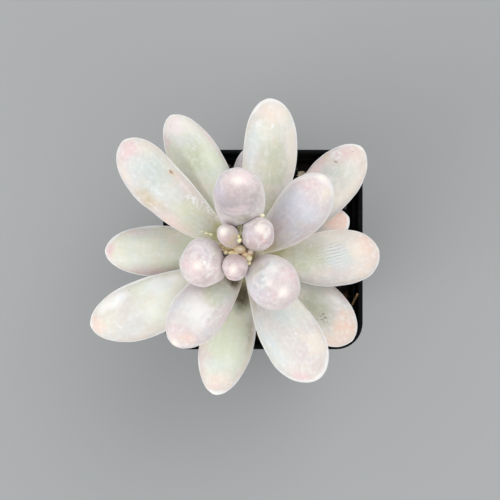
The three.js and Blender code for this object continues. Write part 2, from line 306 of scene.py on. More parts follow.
# Soft patches of other colour in the skin. The place is the leaf, the share of its length from the stem,
# and how far round: 0 is the middle of the upper side, 1 its left margin, -1 its right margin and 2 the
# middle of the underside. Then come the reach in millimetres, how much further it reaches along the leaf,
# the tint and the strength.
Patch = namedtuple("Patch", "leaf along around reach stretch tint strength")
PATCHES = [
    Patch(1, 0.90, 0.3, 9.0, 1.0, CLAY, 0.75),
    Patch(1, 0.90, -0.5, 3.4, 1.0, MOSS, 0.7),
    Patch(1, 0.90, 0.95, 2.8, 1.0, MAUVE, 0.8),
    Patch(1, 0.94, 1.8, 2.6, 1.0, LILAC, 0.6),
    Patch(1, 0.78, 0.1, 2.8, 0.8, HONEY, 0.3),
    Patch(1, 0.71, 0.0, 3.0, 1.0, HONEY, 0.7),
    Patch(2, 0.90, 0.0, 9.0, 1.0, CLAY, 0.85),
    Patch(2, 0.93, 1.1, 3.4, 1.0, MAUVE, 0.7),
    Patch(2, 0.86, 1.9, 2.6, 1.0, BERRY, 0.5),
    Patch(2, 0.89, -0.8, 3.0, 1.0, LILAC, 0.6),
    Patch(2, 0.86, 0.2, 2.4, 1.0, LILAC, 0.6),
    Patch(2, 0.89, -0.82, 1.8, 1.0, PEARL, 0.6),
    Patch(2, 0.975, -1.5, 1.6, 1.0, BRICK, 0.8),
    Patch(2, 0.93, 0.7, 1.4, 1.0, PETAL, 0.6),
    Patch(3, 0.90, 0.0, 9.0, 1.0, CLAY, 0.5),
    Patch(3, 0.88, 0.6, 3.6, 1.2, LILAC, 0.8),
    Patch(3, 0.91, -0.65, 2.6, 0.8, BERRY, 0.9),
    Patch(3, 0.92, -0.75, 0.9, 1.2, MILK, 0.7),
    Patch(3, 0.93, 1.0, 1.5, 1.0, BERRY, 0.5),
    Patch(3, 0.97, 1.6, 2.4, 1.0, CREAM, 0.6),
    Patch(3, 0.96, -1.4, 1.7, 1.0, IVORY, 0.8),
    Patch(3, 0.95, -0.75, 1.5, 1.0, COPPER, 0.7),
    Patch(3, 0.885, 1.0, 2.4, 1.0, ORCHID, 0.7),
    Patch(4, 0.96, -1.7, 3.6, 1.0, ROSE, 0.7),
    Patch(4, 0.87, -0.69, 3.2, 1.0, PINK_ICE, 0.8),
    Patch(4, 0.80, -0.4, 2.4, 1.0, PINK_POWDER, 0.6),
    Patch(4, 0.89, 0.2, 2.4, 1.0, OYSTER, 0.7),
    Patch(4, 0.88, 1.1, 4.6, 1.0, MAUVE, 1.0),
    Patch(4, 0.90, -0.3, 3.4, 1.4, LILAC, 0.7),
    Patch(4, 0.93, 0.2, 1.5, 2.2, CHALK, 0.8),
    Patch(4, 0.90, 0.75, 1.3, 3.0, CHALK, 0.8),
    Patch(4, 0.93, 0.5, 1.2, 2.4, MAUVE, 0.6),
    Patch(4, 0.76, -0.2, 3.2, 1.0, SAGE, 0.5),
    Patch(5, 0.85, 0.0, 9.0, 1.0, CLAY, 0.35),
    Patch(5, 0.79, 0.1, 6.0, 0.8, FROST, 1.0),
    Patch(5, 0.77, 0.25, 3.6, 0.7, CHALK, 0.9),
    Patch(5, 0.84, -0.25, 3.4, 1.0, FROST, 0.7),
    Patch(5, 0.866, 0.09, 3.0, 1.3, CHALK, 0.8),
    Patch(5, 0.89, 0.48, 2.8, 1.0, ICE, 0.8),
    Patch(5, 0.61, 0.06, 2.4, 1.0, LICHEN, 0.7),
    Patch(5, 0.70, 0.35, 2.2, 0.8, FROST, 0.9),
    Patch(5, 0.58, -0.1, 3.4, 1.0, MOSS, 0.8),
    Patch(5, 0.74, -0.6, 4.2, 1.3, LILAC, 0.8),
    Patch(5, 0.92, 0.7, 4.2, 1.2, ROSE, 0.7),
    Patch(5, 0.93, -1.3, 4.6, 1.0, MAUVE, 0.7),
    Patch(5, 0.60, 0.6, 2.6, 1.6, TAN, 0.6),
    Patch(5, 0.88, -0.71, 3.2, 1.0, HEATHER, 0.8),
    Patch(5, 0.94, -1.12, 2.8, 1.0, DUSK, 0.8),
    Patch(5, 0.94, -0.5, 2.4, 1.0, PLUM, 0.6),
    Patch(5, 0.99, -1.4, 1.3, 1.0, WARM_WHITE, 0.9),
    # On leaf 6 the slate and umber patches are painted shade, on its lower side that faces away from the
    # light and towards the leaves below; the blossom patch is painted light on its top, over the tip's pale
    # pink.
    Patch(6, 0.84, 0.1, 10.0, 1.0, SHADE_SLATE, 0.85),
    Patch(6, 0.90, 1.0, 4.6, 1.0, VIOLET, 0.8),
    Patch(6, 0.79, 0.05, 5.0, 0.25, RIBBON, 0.8),
    Patch(6, 0.74, 0.1, 5.0, 0.2, VEIL, 0.7),
    Patch(6, 0.69, 0.0, 5.0, 0.25, SHADE_SLATE, 0.7),
    Patch(6, 0.94, -0.9, 3.4, 1.0, MAUVE, 0.6),
    Patch(6, 0.98, -1.6, 4.6, 1.0, LIT_BLOSSOM, 1.0),
    Patch(6, 0.97, 1.6, 3.4, 1.0, LYCHEE, 0.7),
    Patch(6, 0.65, 0.0, 4.0, 0.5, SHADE_UMBER, 0.8),
    Patch(7, 0.72, -0.7, 5.0, 1.5, LILAC, 0.5),
    Patch(7, 0.70, 0.0, 6.0, 1.2, CHALK, 0.45),
    Patch(7, 0.50, 0.1, 4.6, 1.2, SAGE, 0.8),
    Patch(7, 0.93, 0.4, 3.6, 1.0, PEACH, 0.9),
    Patch(7, 0.96, -0.5, 3.0, 1.2, ROSE, 0.5),
    # Painted shade: the neck lies deep in the shadow of the leaves above.
    Patch(7, 0.27, 0.42, 4.8, 1.0, SHADE, 1.0),
    Patch(7, 0.55, 0.7, 3.6, 1.6, ROSE, 0.4),
    Patch(8, 0.62, 0.5, 7.0, 1.8, LILAC, 0.9),
    Patch(8, 0.66, -0.2, 6.0, 1.6, LILAC, 0.9),
    Patch(8, 0.80, 0.3, 4.4, 1.4, LILAC, 0.7),
    Patch(8, 0.93, 0.5, 4.2, 1.0, ROSE, 0.6),
    Patch(8, 0.93, -0.5, 3.6, 1.0, CREAM, 0.9),
    Patch(8, 0.48, -0.5, 4.4, 1.6, MAUVE, 0.4),
    Patch(9, 0.95, 0.0, 5.0, 1.0, ROSE, 0.9),
    Patch(9, 0.76, 0.0, 6.6, 1.4, FOG, 0.85),
    Patch(9, 0.64, 0.47, 3.4, 1.7, BISCUIT, 0.9),
    Patch(9, 0.43, 0.65, 3.4, 2.2, PEACH, 0.8),
    Patch(9, 0.87, 0.7, 3.2, 1.8, CREAM, 0.8),
    Patch(9, 0.55, -0.5, 2.8, 3.0, PEACH, 0.6),
    Patch(9, 0.67, -0.42, 1.9, 1.2, TAN, 0.8),
    Patch(9, 0.40, 0.0, 5.6, 1.6, PEA, 0.8),
    Patch(10, 0.62, -0.6, 6.0, 2.4, FROST, 0.8),
    Patch(10, 0.50, 0.1, 5.0, 1.6, FROST, 0.8),
    Patch(10, 0.84, 0.5, 5.0, 1.3, CREAM, 0.9),
    Patch(10, 0.95, -0.6, 4.0, 1.5, ROSE, 0.9),
    Patch(11, 0.94, -0.1, 5.0, 1.2, CREAM, 0.9),
    Patch(11, 0.68, 0.5, 4.4, 3.2, FROST, 0.8),
    Patch(11, 0.58, -0.1, 5.0, 2.6, SAGE, 0.6),
    Patch(11, 0.70, -0.6, 2.8, 4.0, CREAM, 0.8),
    Patch(12, 0.84, -0.6, 5.0, 1.5, CHALK, 0.9),
    Patch(12, 0.52, 0.0, 8.0, 1.6, MILK, 0.8),
    Patch(12, 0.52, -0.4, 4.0, 2.2, CHALK, 0.7),
    Patch(12, 0.69, 0.6, 3.0, 2.6, CREAM, 0.5),
    Patch(12, 0.97, 0.1, 4.4, 1.0, PEACH, 0.8),
    Patch(13, 0.45, 0.0, 7.0, 1.2, SAGE, 0.7),
    Patch(13, 0.67, 0.0, 5.0, 1.3, FROST, 0.6),
    Patch(13, 0.93, 0.35, 5.2, 1.3, PEACH, 0.85),
    Patch(13, 0.90, -0.4, 4.4, 1.3, PEACH, 0.8),
    Patch(13, 0.97, -0.7, 3.4, 1.6, ROSE, 0.7),
    Patch(13, 0.84, 0.1, 3.4, 1.3, CREAM, 0.7),
    Patch(14, 0.93, 0.1, 5.4, 1.2, PINK_WHITE, 0.9),
    Patch(14, 0.71, -0.9, 2.8, 4.5, ROSE, 0.8),
    Patch(14, 0.88, 0.7, 2.8, 3.0, ROSE, 0.7),
    Patch(14, 0.70, 0.0, 3.6, 2.4, SAGE, 0.9),
    Patch(15, 0.55, 0.1, 6.6, 1.8, MELON, 0.6),
    Patch(15, 0.53, 0.6, 2.6, 2.8, OLIVE, 0.45),
    # Painted shade: the neck lies deep in the shadow of the leaves above.
    Patch(15, 0.27, 0.1, 6.4, 0.9, SHADE, 0.95),
    Patch(15, 0.77, -0.6, 3.6, 2.2, ROSE, 0.5),
    Patch(15, 0.91, 0.2, 4.6, 1.0, CREAM, 1.0),
    Patch(15, 0.95, -0.3, 3.4, 1.2, PEACH, 0.7),
    Patch(15, 0.89, -0.8, 2.2, 3.0, ROSE, 0.6),
    Patch(15, 0.84, 0.8, 2.0, 3.4, ROSE, 0.5),
    Patch(16, 0.70, 0.6, 2.8, 2.2, ROSE, 0.6),
    Patch(16, 0.70, 0.1, 4.8, 1.3, DEW, 0.9),
    Patch(16, 0.72, -0.5, 3.4, 3.2, CREAM, 0.9),
    Patch(16, 0.93, 0.2, 5.0, 1.2, ROSE, 0.7),
    Patch(16, 0.79, 0.55, 1.8, 1.2, TAN, 0.7),
    Patch(16, 0.84, -0.7, 2.6, 3.0, CREAM, 0.8),
    Patch(17, 0.98, -0.2, 4.0, 1.0, ROSE, 1.0),
    Patch(17, 0.99, 0.1, 3.2, 1.0, BERRY, 0.6),
    Patch(17, 0.92, 0.9, 2.6, 3.0, ROSE, 0.9),
    Patch(17, 0.78, 0.7, 1.3, 6.0, BERRY, 0.5),
    Patch(17, 0.93, -0.9, 2.0, 3.0, ROSE, 0.7),
    Patch(17, 0.66, 0.55, 2.8, 3.6, ROSE, 0.7),
    Patch(17, 0.60, 0.0, 7.0, 1.6, CELERY, 0.6),
    Patch(17, 0.55, -0.35, 2.6, 3.0, CREAM, 0.7),
    Patch(17, 0.78, -0.6, 2.4, 3.0, ROSE, 0.6),
    Patch(18, 0.62, 0.0, 7.6, 1.2, MOSS, 0.8),
    Patch(18, 0.74, 0.7, 3.6, 1.6, LILAC, 0.6),
    Patch(18, 0.90, 0.2, 5.4, 1.0, APRICOT, 0.8),
    Patch(18, 0.90, -0.5, 4.2, 1.3, PEACH, 0.7),
    Patch(18, 0.80, 0.9, 2.4, 3.4, ROSE, 0.8),
    Patch(18, 0.70, 0.5, 2.6, 2.0, CHALK, 0.5),
    Patch(19, 0.84, 0.6, 4.0, 1.5, MAUVE, 0.7),
    Patch(21, 0.90, 0.0, 9.0, 1.0, CORAL, 1.0),
]

# Small blemishes, placed like the patches: a sore is a healed brown pit, chalk is bloom heaped in crumbs,
# grit is dark dirt stuck to the bloom, a comb is a set of fine scratches where the leaf was brushed, bare
# skin has lost most of its bloom, and a swirl is bloom wiped into wavy lines.
Blemish = namedtuple("Blemish", "leaf along around reach stretch kind strength")
BLEMISHES = [
    Blemish(1, 0.90, 0.2, 7.0, 1.0, "bare", 0.8),
    Blemish(2, 0.90, 0.2, 7.0, 1.0, "bare", 0.4),
    Blemish(2, 0.92, 0.2, 8.0, 1.0, "swirl", 0.6),
    Blemish(3, 0.90, 0.2, 7.0, 1.0, "bare", 0.4),
    Blemish(3, 0.92, 0.2, 9.0, 1.0, "swirl", 0.7),
    # These two take the bloom off the painted shade at the necks of leaves 7 and 15.
    Blemish(7, 0.28, 0.4, 5.0, 1.0, "bare", 1.0),
    Blemish(15, 0.27, 0.1, 7.0, 1.0, "bare", 1.0),
    Blemish(6, 0.82, 0.2, 9.0, 1.0, "bare", 0.9),
    Blemish(1, 0.92, 0.2, 8.0, 1.0, "swirl", 0.4),
    Blemish(4, 0.90, -0.6, 6.0, 1.4, "swirl", 0.35),
    Blemish(4, 0.85, 0.05, 5.0, 1.4, "swirl", 0.65),
    Blemish(4, 0.92, 0.6, 6.0, 1.2, "swirl", 0.3),
    Blemish(5, 0.78, 0.1, 8.0, 1.0, "swirl", 0.45),
    Blemish(6, 0.74, 0.1, 6.0, 0.6, "swirl", 0.4),
    Blemish(7, 0.76, 0.4, 9.0, 1.2, "swirl", 0.3),
    Blemish(18, 0.60, 0.0, 8.0, 1.0, "bare", 0.6),
    Blemish(9, 0.672, -0.47, 0.8, 1.5, "sore", 0.95),
    Blemish(9, 0.44, -0.35, 2.6, 2.4, "chalk", 0.75),
    Blemish(9, 0.44, -0.30, 2.4, 2.4, "sore", 0.32),
    Blemish(9, 0.30, -0.6, 3.4, 2.6, "chalk", 0.65),
    Blemish(9, 0.70, 0.1, 7.0, 1.6, "chalk", 0.3),
    Blemish(16, 0.82, 0.34, 2.2, 1.0, "sore", 0.55),
    Blemish(16, 0.86, 0.45, 3.4, 1.0, "chalk", 0.7),
    Blemish(16, 0.87, 0.3, 3.4, 1.0, "sore", 0.3),
    Blemish(16, 0.94, 0.13, 0.6, 1.0, "sore", 0.6),
    Blemish(18, 0.71, -0.09, 3.2, 1.2, "grit", 0.55),
    Blemish(18, 0.64, -0.3, 2.6, 1.4, "grit", 0.5),
    Blemish(13, 0.62, 0.15, 5.0, 1.3, "comb", 0.8),
    Blemish(10, 0.69, 0.14, 1.0, 1.0, "chalk", 1.0),
    Blemish(10, 0.74, 0.3, 3.4, 1.4, "chalk", 0.45),
    Blemish(11, 0.93, 0.3, 1.8, 1.0, "sore", 0.35),
    Blemish(11, 0.84, -0.05, 1.3, 1.0, "chalk", 0.8),
    Blemish(15, 0.945, 0.1, 0.8, 1.0, "sore", 0.5),
    Blemish(4, 0.95, -0.1, 2.4, 1.6, "chalk", 0.7),
    Blemish(4, 0.92, 0.5, 2.2, 1.6, "chalk", 0.6),
    Blemish(3, 0.93, -0.7, 1.6, 1.0, "sore", 0.4),
    Blemish(5, 0.78, 0.2, 4.6, 1.2, "chalk", 0.55),
    Blemish(7, 0.72, 0.2, 3.4, 1.4, "chalk", 0.55),
    Blemish(14, 0.72, -0.1, 6.0, 2.0, "chalk", 0.42),
    Blemish(17, 0.55, -0.1, 7.0, 2.0, "chalk", 0.38),
    Blemish(13, 0.45, 0.3, 5.0, 2.0, "chalk", 0.38),
    Blemish(15, 0.62, -0.2, 6.0, 2.0, "chalk", 0.38),
    Blemish(11, 0.85, 0.5, 5.0, 1.0, "chalk", 0.48),
    Blemish(18, 0.76, 0.5, 5.0, 1.2, "chalk", 0.5),
    Blemish(10, 0.60, -0.5, 6.0, 2.0, "chalk", 0.35),
    Blemish(12, 0.62, 0.1, 3.4, 1.6, "chalk", 0.5),
    Blemish(17, 0.90, 0.3, 2.4, 1.0, "chalk", 0.55),
]

# The growing tip's low cushion, and how far its beads turn pale towards their tops, as painted light from
# above.
CUSHION_LIFT = Vector((0, 0, 2.0)) * MM
CUSHION_LENGTH = 6.4 * MM
CUSHION_WIDTH = 6.6 * MM
TOP_LIGHT_STRENGTH = 0.45
# Beads of the growing tip: place, length and width in millimetres, how far each leans and towards which
# turn in degrees, and its tint.
Bead = namedtuple("Bead", "x y z length width lean toward tint")
BEADS = [
    Bead(-6.7, 0.1, 93.8, 3.3, 2.5, 84, -8, GOLD),
    Bead(-6.55, 0.2, 94.5, 2.1, 1.5, 86, -8, BUTTER),
    Bead(-3.8, -0.7, 93.6, 1.7, 1.5, 20, 0, SHELL),
    Bead(-5.2, -1.4, 93.4, 2.1, 1.7, 60, 340, AMBER),
    Bead(-4.2, -2.3, 93.6, 2.3, 1.8, 30, 290, STRAW),
    Bead(-4.2, -3.5, 93.2, 1.8, 1.2, 50, 290, STRAW),
    Bead(-7.6, -1.2, 93.7, 1.7, 1.3, 50, 190, STRAW),
    Bead(-8.8, -0.9, 93.7, 2.0, 1.4, 70, 190, WHEAT),
    Bead(-10.3, -0.8, 93.4, 1.5, 1.2, 40, 190, STRAW),
    Bead(-11.0, 0.0, 93.1, 1.3, 0.9, 50, 180, SHELL),
    Bead(-8.5, 0.5, 93.8, 1.7, 0.9, 80, 150, MAIZE),
    Bead(-9.8, 0.9, 92.6, 4.8, 3.0, 90, 10, RESIN),
    Bead(-6.65, 2.35, 99.3, 1.3, 1.1, 60, 60, LIME),
    Bead(-6.8, 3.4, 99.2, 1.0, 0.7, 70, 90, GRAPE),
    Bead(-6.5, 5.0, 96.6, 6.4, 1.7, 90, 90, REED),
    Bead(-1.0, 8.9, 96.2, 2.0, 1.2, 88, 0, WAX),
    Bead(-15.9, 4.5, 81.45, 1.3, 0.6, 80, 170, LEMON),
    Bead(-14.7, 4.2, 81.15, 1.2, 0.7, 85, 155, PRIMROSE),
    Bead(-17.3, 5.1, 81.8, 0.8, 0.5, 80, 130, LEMON),
]


def mix(a, b, share):
    return a + (b - a) * share


def smooth(value, low, high):
    """0 at low, 1 at high and an S-curve between."""
    share = min(max((value - low) / (high - low), 0), 1)
    return share * share * (3 - 2 * share)


def linear(code):
    """The linear colour, with alpha, of an sRGB hex code."""
    colour = []
    for at in (0, 2, 4):
        value = int(code[at : at + 2], 16) / 255
        colour.append(value / 12.92 if value <= 0.04045 else ((value + 0.055) / 1.055) ** 2.4)
    return (*colour, 1.0)


# Settings


def colour_setting(name, code, description):
    return bpy.props.FloatVectorProperty(
        name=name, description=description, subtype="COLOR", size=4, min=0, max=1, default=linear(code)
    )


def length_setting(name, length, description):
    return bpy.props.FloatProperty(name=name, description=description, default=length, unit="LENGTH")


class PotSettings(bpy.types.PropertyGroup):
    lip_half: length_setting("Lip half width", POT_HIGH.x, "From the pot's middle to the outside of its lip")
    height: length_setting("Height", POT_HIGH.z, "From the ground to the top of the lip")
    lip_height: length_setting("Lip height", 3.6 * MM, "How far the thicker lip reaches down")
    wall: length_setting("Wall", 0.9 * MM, "Thickness of the moulded wall")
    drain_radius: length_setting("Drain radius", 3.2 * MM, "Radius of each drain hole")
    colour: colour_setting("Plastic", "050607", "Colour of the moulded plastic")
    dust: colour_setting("Dust", "8C8479", "Colour of the dust that dulls it")


class MixSettings(bpy.types.PropertyGroup):
    grains: bpy.props.IntProperty(
        name="Grains", description="How many loose grains lie on the surface", default=1100, min=0
    )
    fibres: bpy.props.IntProperty(
        name="Fibres", description="How many root and coir fibres lie on the surface", default=46, min=0
    )
    peat: colour_setting("Peat", "1A130F", "Colour of the fine dark mix")
    bark: colour_setting("Bark", "49301F", "Colour of the bark chips")
    pumice: colour_setting("Pumice", "FBEBD2", "Colour of the pale grit")


class StemSettings(bpy.types.PropertyGroup):
    scar_depth: length_setting("Scar depth", 0.35 * MM, "How far the old leaf scars stand proud")
    skin: colour_setting("Skin", "9A9468", "Colour of the stem's skin")
    cork: colour_setting("Cork", "6B5536", "Colour of the scars and of the corky foot")


class LeafSettings(bpy.types.PropertyGroup):
    sides: bpy.props.IntProperty(
        name="Sides", description="Faces round each leaf", default=64, min=8, max=128
    )
    rings: bpy.props.IntProperty(
        name="Rings", description="Rings of faces along each leaf", default=96, min=8, max=160
    )
    gap: length_setting("Gap", 0.15 * MM, "Air left where one leaf lies against another")
    swell: length_setting("Swell", 0.24 * MM, "Height of the slow swells in the skin")
    lavender: colour_setting("Lavender", "D6CACC", "Skin of the youngest leaves")
    green: colour_setting("Green", "E0E5D0", "Skin of the greenest leaves")
    frost: colour_setting("Frost", "D8E0DF", "Bluish patches of thick bloom")
    cream: colour_setting("Cream", "EADBC9", "Warm patches of thin bloom")
    young_neck: colour_setting("Young neck", "B9A96C", "Skin near the stem on the young leaves")
    old_neck: colour_setting("Old neck", "B4BB72", "Skin near the stem on the old leaves")
    mauve: colour_setting("Mauve", "D9BFC1", "Cool blush at the tips")
    salmon: colour_setting("Salmon", "E5C4B4", "Warm blush at the tips")
    nib: colour_setting("Nib", "FEF6EA", "The very end of each leaf")
    bloom: colour_setting("Bloom", "F2F1F0", "Powdery wax over the skin")
    sore: colour_setting("Sore", "B08C74", "Healed pits and scars")
    hollow: colour_setting("Hollow", "BDAFBA", "Skin between the lines of a swirl")
    # Painted sheen: the white of the rim along the margins of the open leaves, where the bloom is seen edge
    # on.
    sheen_rim: colour_setting("Rim", "FEFDFB", "Chalky edge of the leaves that lie open")
    grit: colour_setting("Grit", "8A8578", "Dirt and brushed-off bloom")


class StageSettings(bpy.types.PropertyGroup):
    floor: colour_setting("Floor", "A1A2A2", "Colour of the plain floor")
    key_power: bpy.props.FloatProperty(
        name="Key light", description="Power of the big soft light", default=6.7, min=0, unit="POWER"
    )
    sky: bpy.props.FloatProperty(
        name="Sky", description="Strength of the even light from all round", default=0.86, min=0
    )
    camera_height: length_setting("Camera height", 357 * MM, "From the ground to the lens")
    lens: bpy.props.FloatProperty(
        name="Lens", description="Focal length in millimetres", default=71.28, min=1
    )


# Materials


def connect(made, inputs):
    """Sets a node's inputs, each given as a value or as a socket to link."""
    for name, value in dict(inputs).items():
        if isinstance(value, bpy.types.NodeSocket):
            made.id_data.links.new(value, made.inputs[name])
        else:
            made.inputs[name].default_value = value


def add(tree, kind, inputs=(), **settings):
    """Adds a node with its settings and its inputs, and gives its outputs."""
    made = tree.nodes.new("ShaderNode" + kind)
    for name, value in settings.items():
        setattr(made, name, value)
    connect(made, inputs)
    return made.outputs


def blank_material(name):
    """A new material, the way to add a node to it, and its shader."""
    material = bpy.data.materials.new(name)
    material.use_nodes = True
    tree = material.node_tree
    return material, partial(add, tree), tree.nodes["Principled BSDF"]


def waxy_leaf(name, settings, nib_strength):
    """Succulent leaf skin: firm watery flesh under a powdery wax bloom.

    The eye sees matt, pearly, slightly see-through skin that drifts from lilac and frosty white to cream and
    sage, a blush at the tip, and a bright white rim of painted sheen where the bloom is seen edge on.
    """
    material, node, shader = blank_material(name)

    def frayed(value, pattern, amount):
        """A value whose edges are broken up by a pattern."""
        even = node("Math", {0: pattern, 1: 0.5}, operation="SUBTRACT")[0]
        return node("Math", {0: even, 1: amount, 2: value}, operation="MULTIPLY_ADD")[0]

    def cover(value, low, high, top=1.0, within=1.0):
        """How much of a layer shows: 0 where a value is low, top where it is high, inside another cover."""
        inputs = {"Value": value, "From Min": low, "From Max": high, "To Max": top}
        climb = node("MapRange", inputs, interpolation_type="SMOOTHSTEP")[0]
        return node("Math", {0: climb, 1: within}, operation="MULTIPLY")[0]

    def either(first, second):
        """The stronger of two covers at each place."""
        return node("Math", {0: first, 1: second}, operation="MAXIMUM")[0]

    # What the mesh says of the skin: strengths of the painted sheen rim and of the blush, then the blemishes.
    marks = []
    for layer in ("hue", "worn", "dirt"):
        vector = node("Attribute", attribute_name=layer)["Vector"]
        marks.extend(node("SeparateXYZ", {0: vector}))
    sheen_rim, blush, warmth, sore, bare, chalk, grit, comb, swirl = marks
    flesh = node("Attribute", attribute_name="flesh")["Color"]
    place = node("Attribute", attribute_name="straight")["Vector"]
    from_tip = node("VectorMath", {0: place}, operation="LENGTH")["Value"]
    solid = node("TexCoord")["Object"]
    # Noise, by the size of its features in millimetres, its detail and its seed: two kinds of drift,
    # mottling, powder grains, crumbs of bloom, flecks of dirt, and the lie of the swirls.
    noises = [(7, 2, 0), (5, 2, 3), (1.3, 3, 5), (0.35, 2, 7), (0.8, 3, 9), (0.7, 3, 11), (6, 1, 13)]
    patterns = []
    for size, detail, seed in noises:
        inputs = {"Vector": solid, "W": seed, "Scale": 1 / (size * MM), "Detail": detail, "Roughness": 0.55}
        patterns.append(node("TexNoise", inputs, noise_dimensions="4D")[0])
    frosty, creamy, mottle, powder, crumbly, flecky, wavy = patterns
    # Faint streaks run the length of the leaf, 0.8 mm wide and 9 mm long.
    stretched = node("Mapping", {0: place, "Scale": (1.25, 0.11, 1.25)})[0]
    streaks = node("TexNoise", {"Vector": stretched, "Scale": 1, "Detail": 3})[0]

    # Where leaves have rubbed, four fifths of the bloom is gone.
    kept = node("Math", {0: bare, 1: -0.8, 2: 1.0}, operation="MULTIPLY_ADD")[0]
    # Millimetres above the leaf's margin, on a line that wanders by one and a half. Blush and the painted
    # sheen rim thin out again down the underside.
    above = frayed(node("SeparateXYZ", {0: place})["Z"], creamy, 3.0)
    open_blush = cover(above, -5.0, -0.4, 1.0, blush)
    open_sheen_rim = cover(above, -5.0, -0.4, 1.0, sheen_rim)
    # Blush: a warped edge some 10 mm short of the tip, and a band just inside both margins.
    tip_blush = cover(frayed(from_tip, creamy, 12), 11, 2, 0.6, blush)
    margin_blush = cover(above, 4.6, 1.8, 0.35, open_blush)
    blush_colour = node("Mix", {0: warmth, 6: settings.mauve, 7: settings.salmon}, data_type="RGBA")[2]
    # Swirls: lines about 1.5 mm apart that wander round the drifts, chalky on one side, lilac on the other.
    phase = node("Math", {0: frayed(wavy, mottle, 0.12), 1: 42.0}, operation="MULTIPLY")[0]
    lines = node("Math", {0: phase}, operation="SINE")[0]
    # Bloom: lightly mottled and streaked, heaped in crumbs and along the swirls' lines.
    crumbs = cover(frayed(chalk, crumbly, 2.0), 0.5, 0.85, 0.75)
    heaped = either(crumbs, cover(lines, 0.2, 0.95, 0.7, swirl))
    mottled = cover(mottle, 0.45, 0.68, 0.3)
    streaked = cover(streaks, 0.45, 0.7, 0.2)
    bloom = node("Math", {0: mottled, 1: streaked}, operation="ADD")[0]
    bloom = node("Math", {0: bloom, 1: heaped}, operation="ADD")[0]
    bloom = node("Math", {0: bloom, 1: kept}, operation="MULTIPLY", use_clamp=True)[0]
    # Specks: sparse brown dots of grit and sap, 0.4 mm across and some 8 mm apart.
    specks = node("TexVoronoi", {"Vector": solid, "Scale": 1 / (8 * MM), "Randomness": 1})["Distance"]
    pits = cover(frayed(sore, mottle, 1.2), 0.4, 0.6, 0.9)
    # Dirt in broken flecks, and a comb of scratches 0.9 mm apart, 10 degrees off the leaf's length.
    flecks = cover(frayed(grit, flecky, 2.4), 0.6, 0.8, 0.8)
    combed = node("Mapping", {0: place, "Rotation": (0, 0, math.radians(-10))})[0]
    wave = {"Vector": combed, "Scale": 0.35, "Distortion": 5, "Detail": 3, "Detail Scale": 0.3}
    scratches = cover(node("TexWave", wave)["Fac"], 0.84, 0.99, 0.9, cover(mottle, 0.4, 0.6, 1.0, comb))
    layers = [
        (cover(frosty, 0.5, 0.64, 0.35, kept), settings.frost),
        (cover(creamy, 0.52, 0.66, 0.3, kept), settings.cream),
        (either(tip_blush, margin_blush), blush_colour),
        (cover(lines, -0.1, -0.9, 0.45, swirl), settings.hollow),
        (bloom, settings.bloom),
        (cover(powder, 0.58, 0.7, 0.3), settings.bloom),
        # Painted sheen: a white rim along the margins of the open leaves, where the bloom is seen edge on.
        (cover(frayed(above, mottle, 0.8), 2.1, 0.5, 0.88, open_sheen_rim), settings.sheen_rim),
        (cover(frayed(from_tip, mottle, 1.5), 2.2, 0.1, nib_strength), settings.nib),
        (either(cover(specks, 0.045, 0.02, 0.4), pits), settings.sore),
        (either(flecks, scratches), settings.grit),
    ]
    skin = flesh
    for share, colour in layers:
        skin = node("Mix", {0: share, 6: skin, 7: colour}, data_type="RGBA")[2]

    # Low relief: powder, crumbs and faint streaks, hundredths of a millimetre deep.
    grain = node("Bump", {"Strength": 0.4, "Distance": 0.04 * MM, "Height": powder})[0]
    relief = node("Math", {0: streaks, 1: 0.6, 2: crumbs}, operation="MULTIPLY_ADD")[0]
    relief = node("Math", {0: mottle, 1: relief}, operation="ADD")[0]
    ripple = {"Strength": 0.5, "Distance": 0.1 * MM, "Height": relief, "Normal": grain}
    surface = {
        "Base Color": skin,
        "Roughness": node("MapRange", {"Value": bloom, "From Max": 0.6, "To Min": 0.42, "To Max": 0.65})[0],
        "Normal": node("Bump", ripple)[0],
        "IOR": 1.4,
        "Subsurface Weight": 0.3,
        "Subsurface Radius": (1.0, 0.8, 0.6),
        "Subsurface Scale": 2 * MM,
        "Sheen Weight": 0.8,
        "Sheen Roughness": 0.3,
        "Sheen Tint": (1, 1, 1, 1),
    }
    connect(shader, surface)
    return material


def waxy_bud(settings):
    """Leaf buds: tight young flesh, its wax still thin. The eye sees small satin beads, their tops made paler
    by painted light.
    """
    material, node, shader = blank_material("waxy bud skin")
    tint = node("Attribute", attribute_name="tint")["Color"]
    solid = node("TexCoord")["Object"]
    # Mottling of 0.5 mm, the finest that shows.
    mottle = node("TexNoise", {"Vector": solid, "Scale": 1 / (0.5 * MM), "Detail": 2})[0]
    pale = node("MapRange", {"Value": mottle, "From Min": 0.4, "From Max": 0.7, "To Max": 0.35})[0]
    surface = {
        "Base Color": node("Mix", {0: pale, 6: tint, 7: settings.nib}, data_type="RGBA")[2],
        "Normal": node("Bump", {"Strength": 0.4, "Distance": 0.05 * MM, "Height": mottle})[0],
        "Roughness": 0.45,
        "Subsurface Weight": 0.25,
        "Subsurface Radius": (1.0, 0.6, 0.3),
        "Subsurface Scale": 1 * MM,
        "Sheen Weight": 0.2,
    }
    connect(shader, surface)
    return material


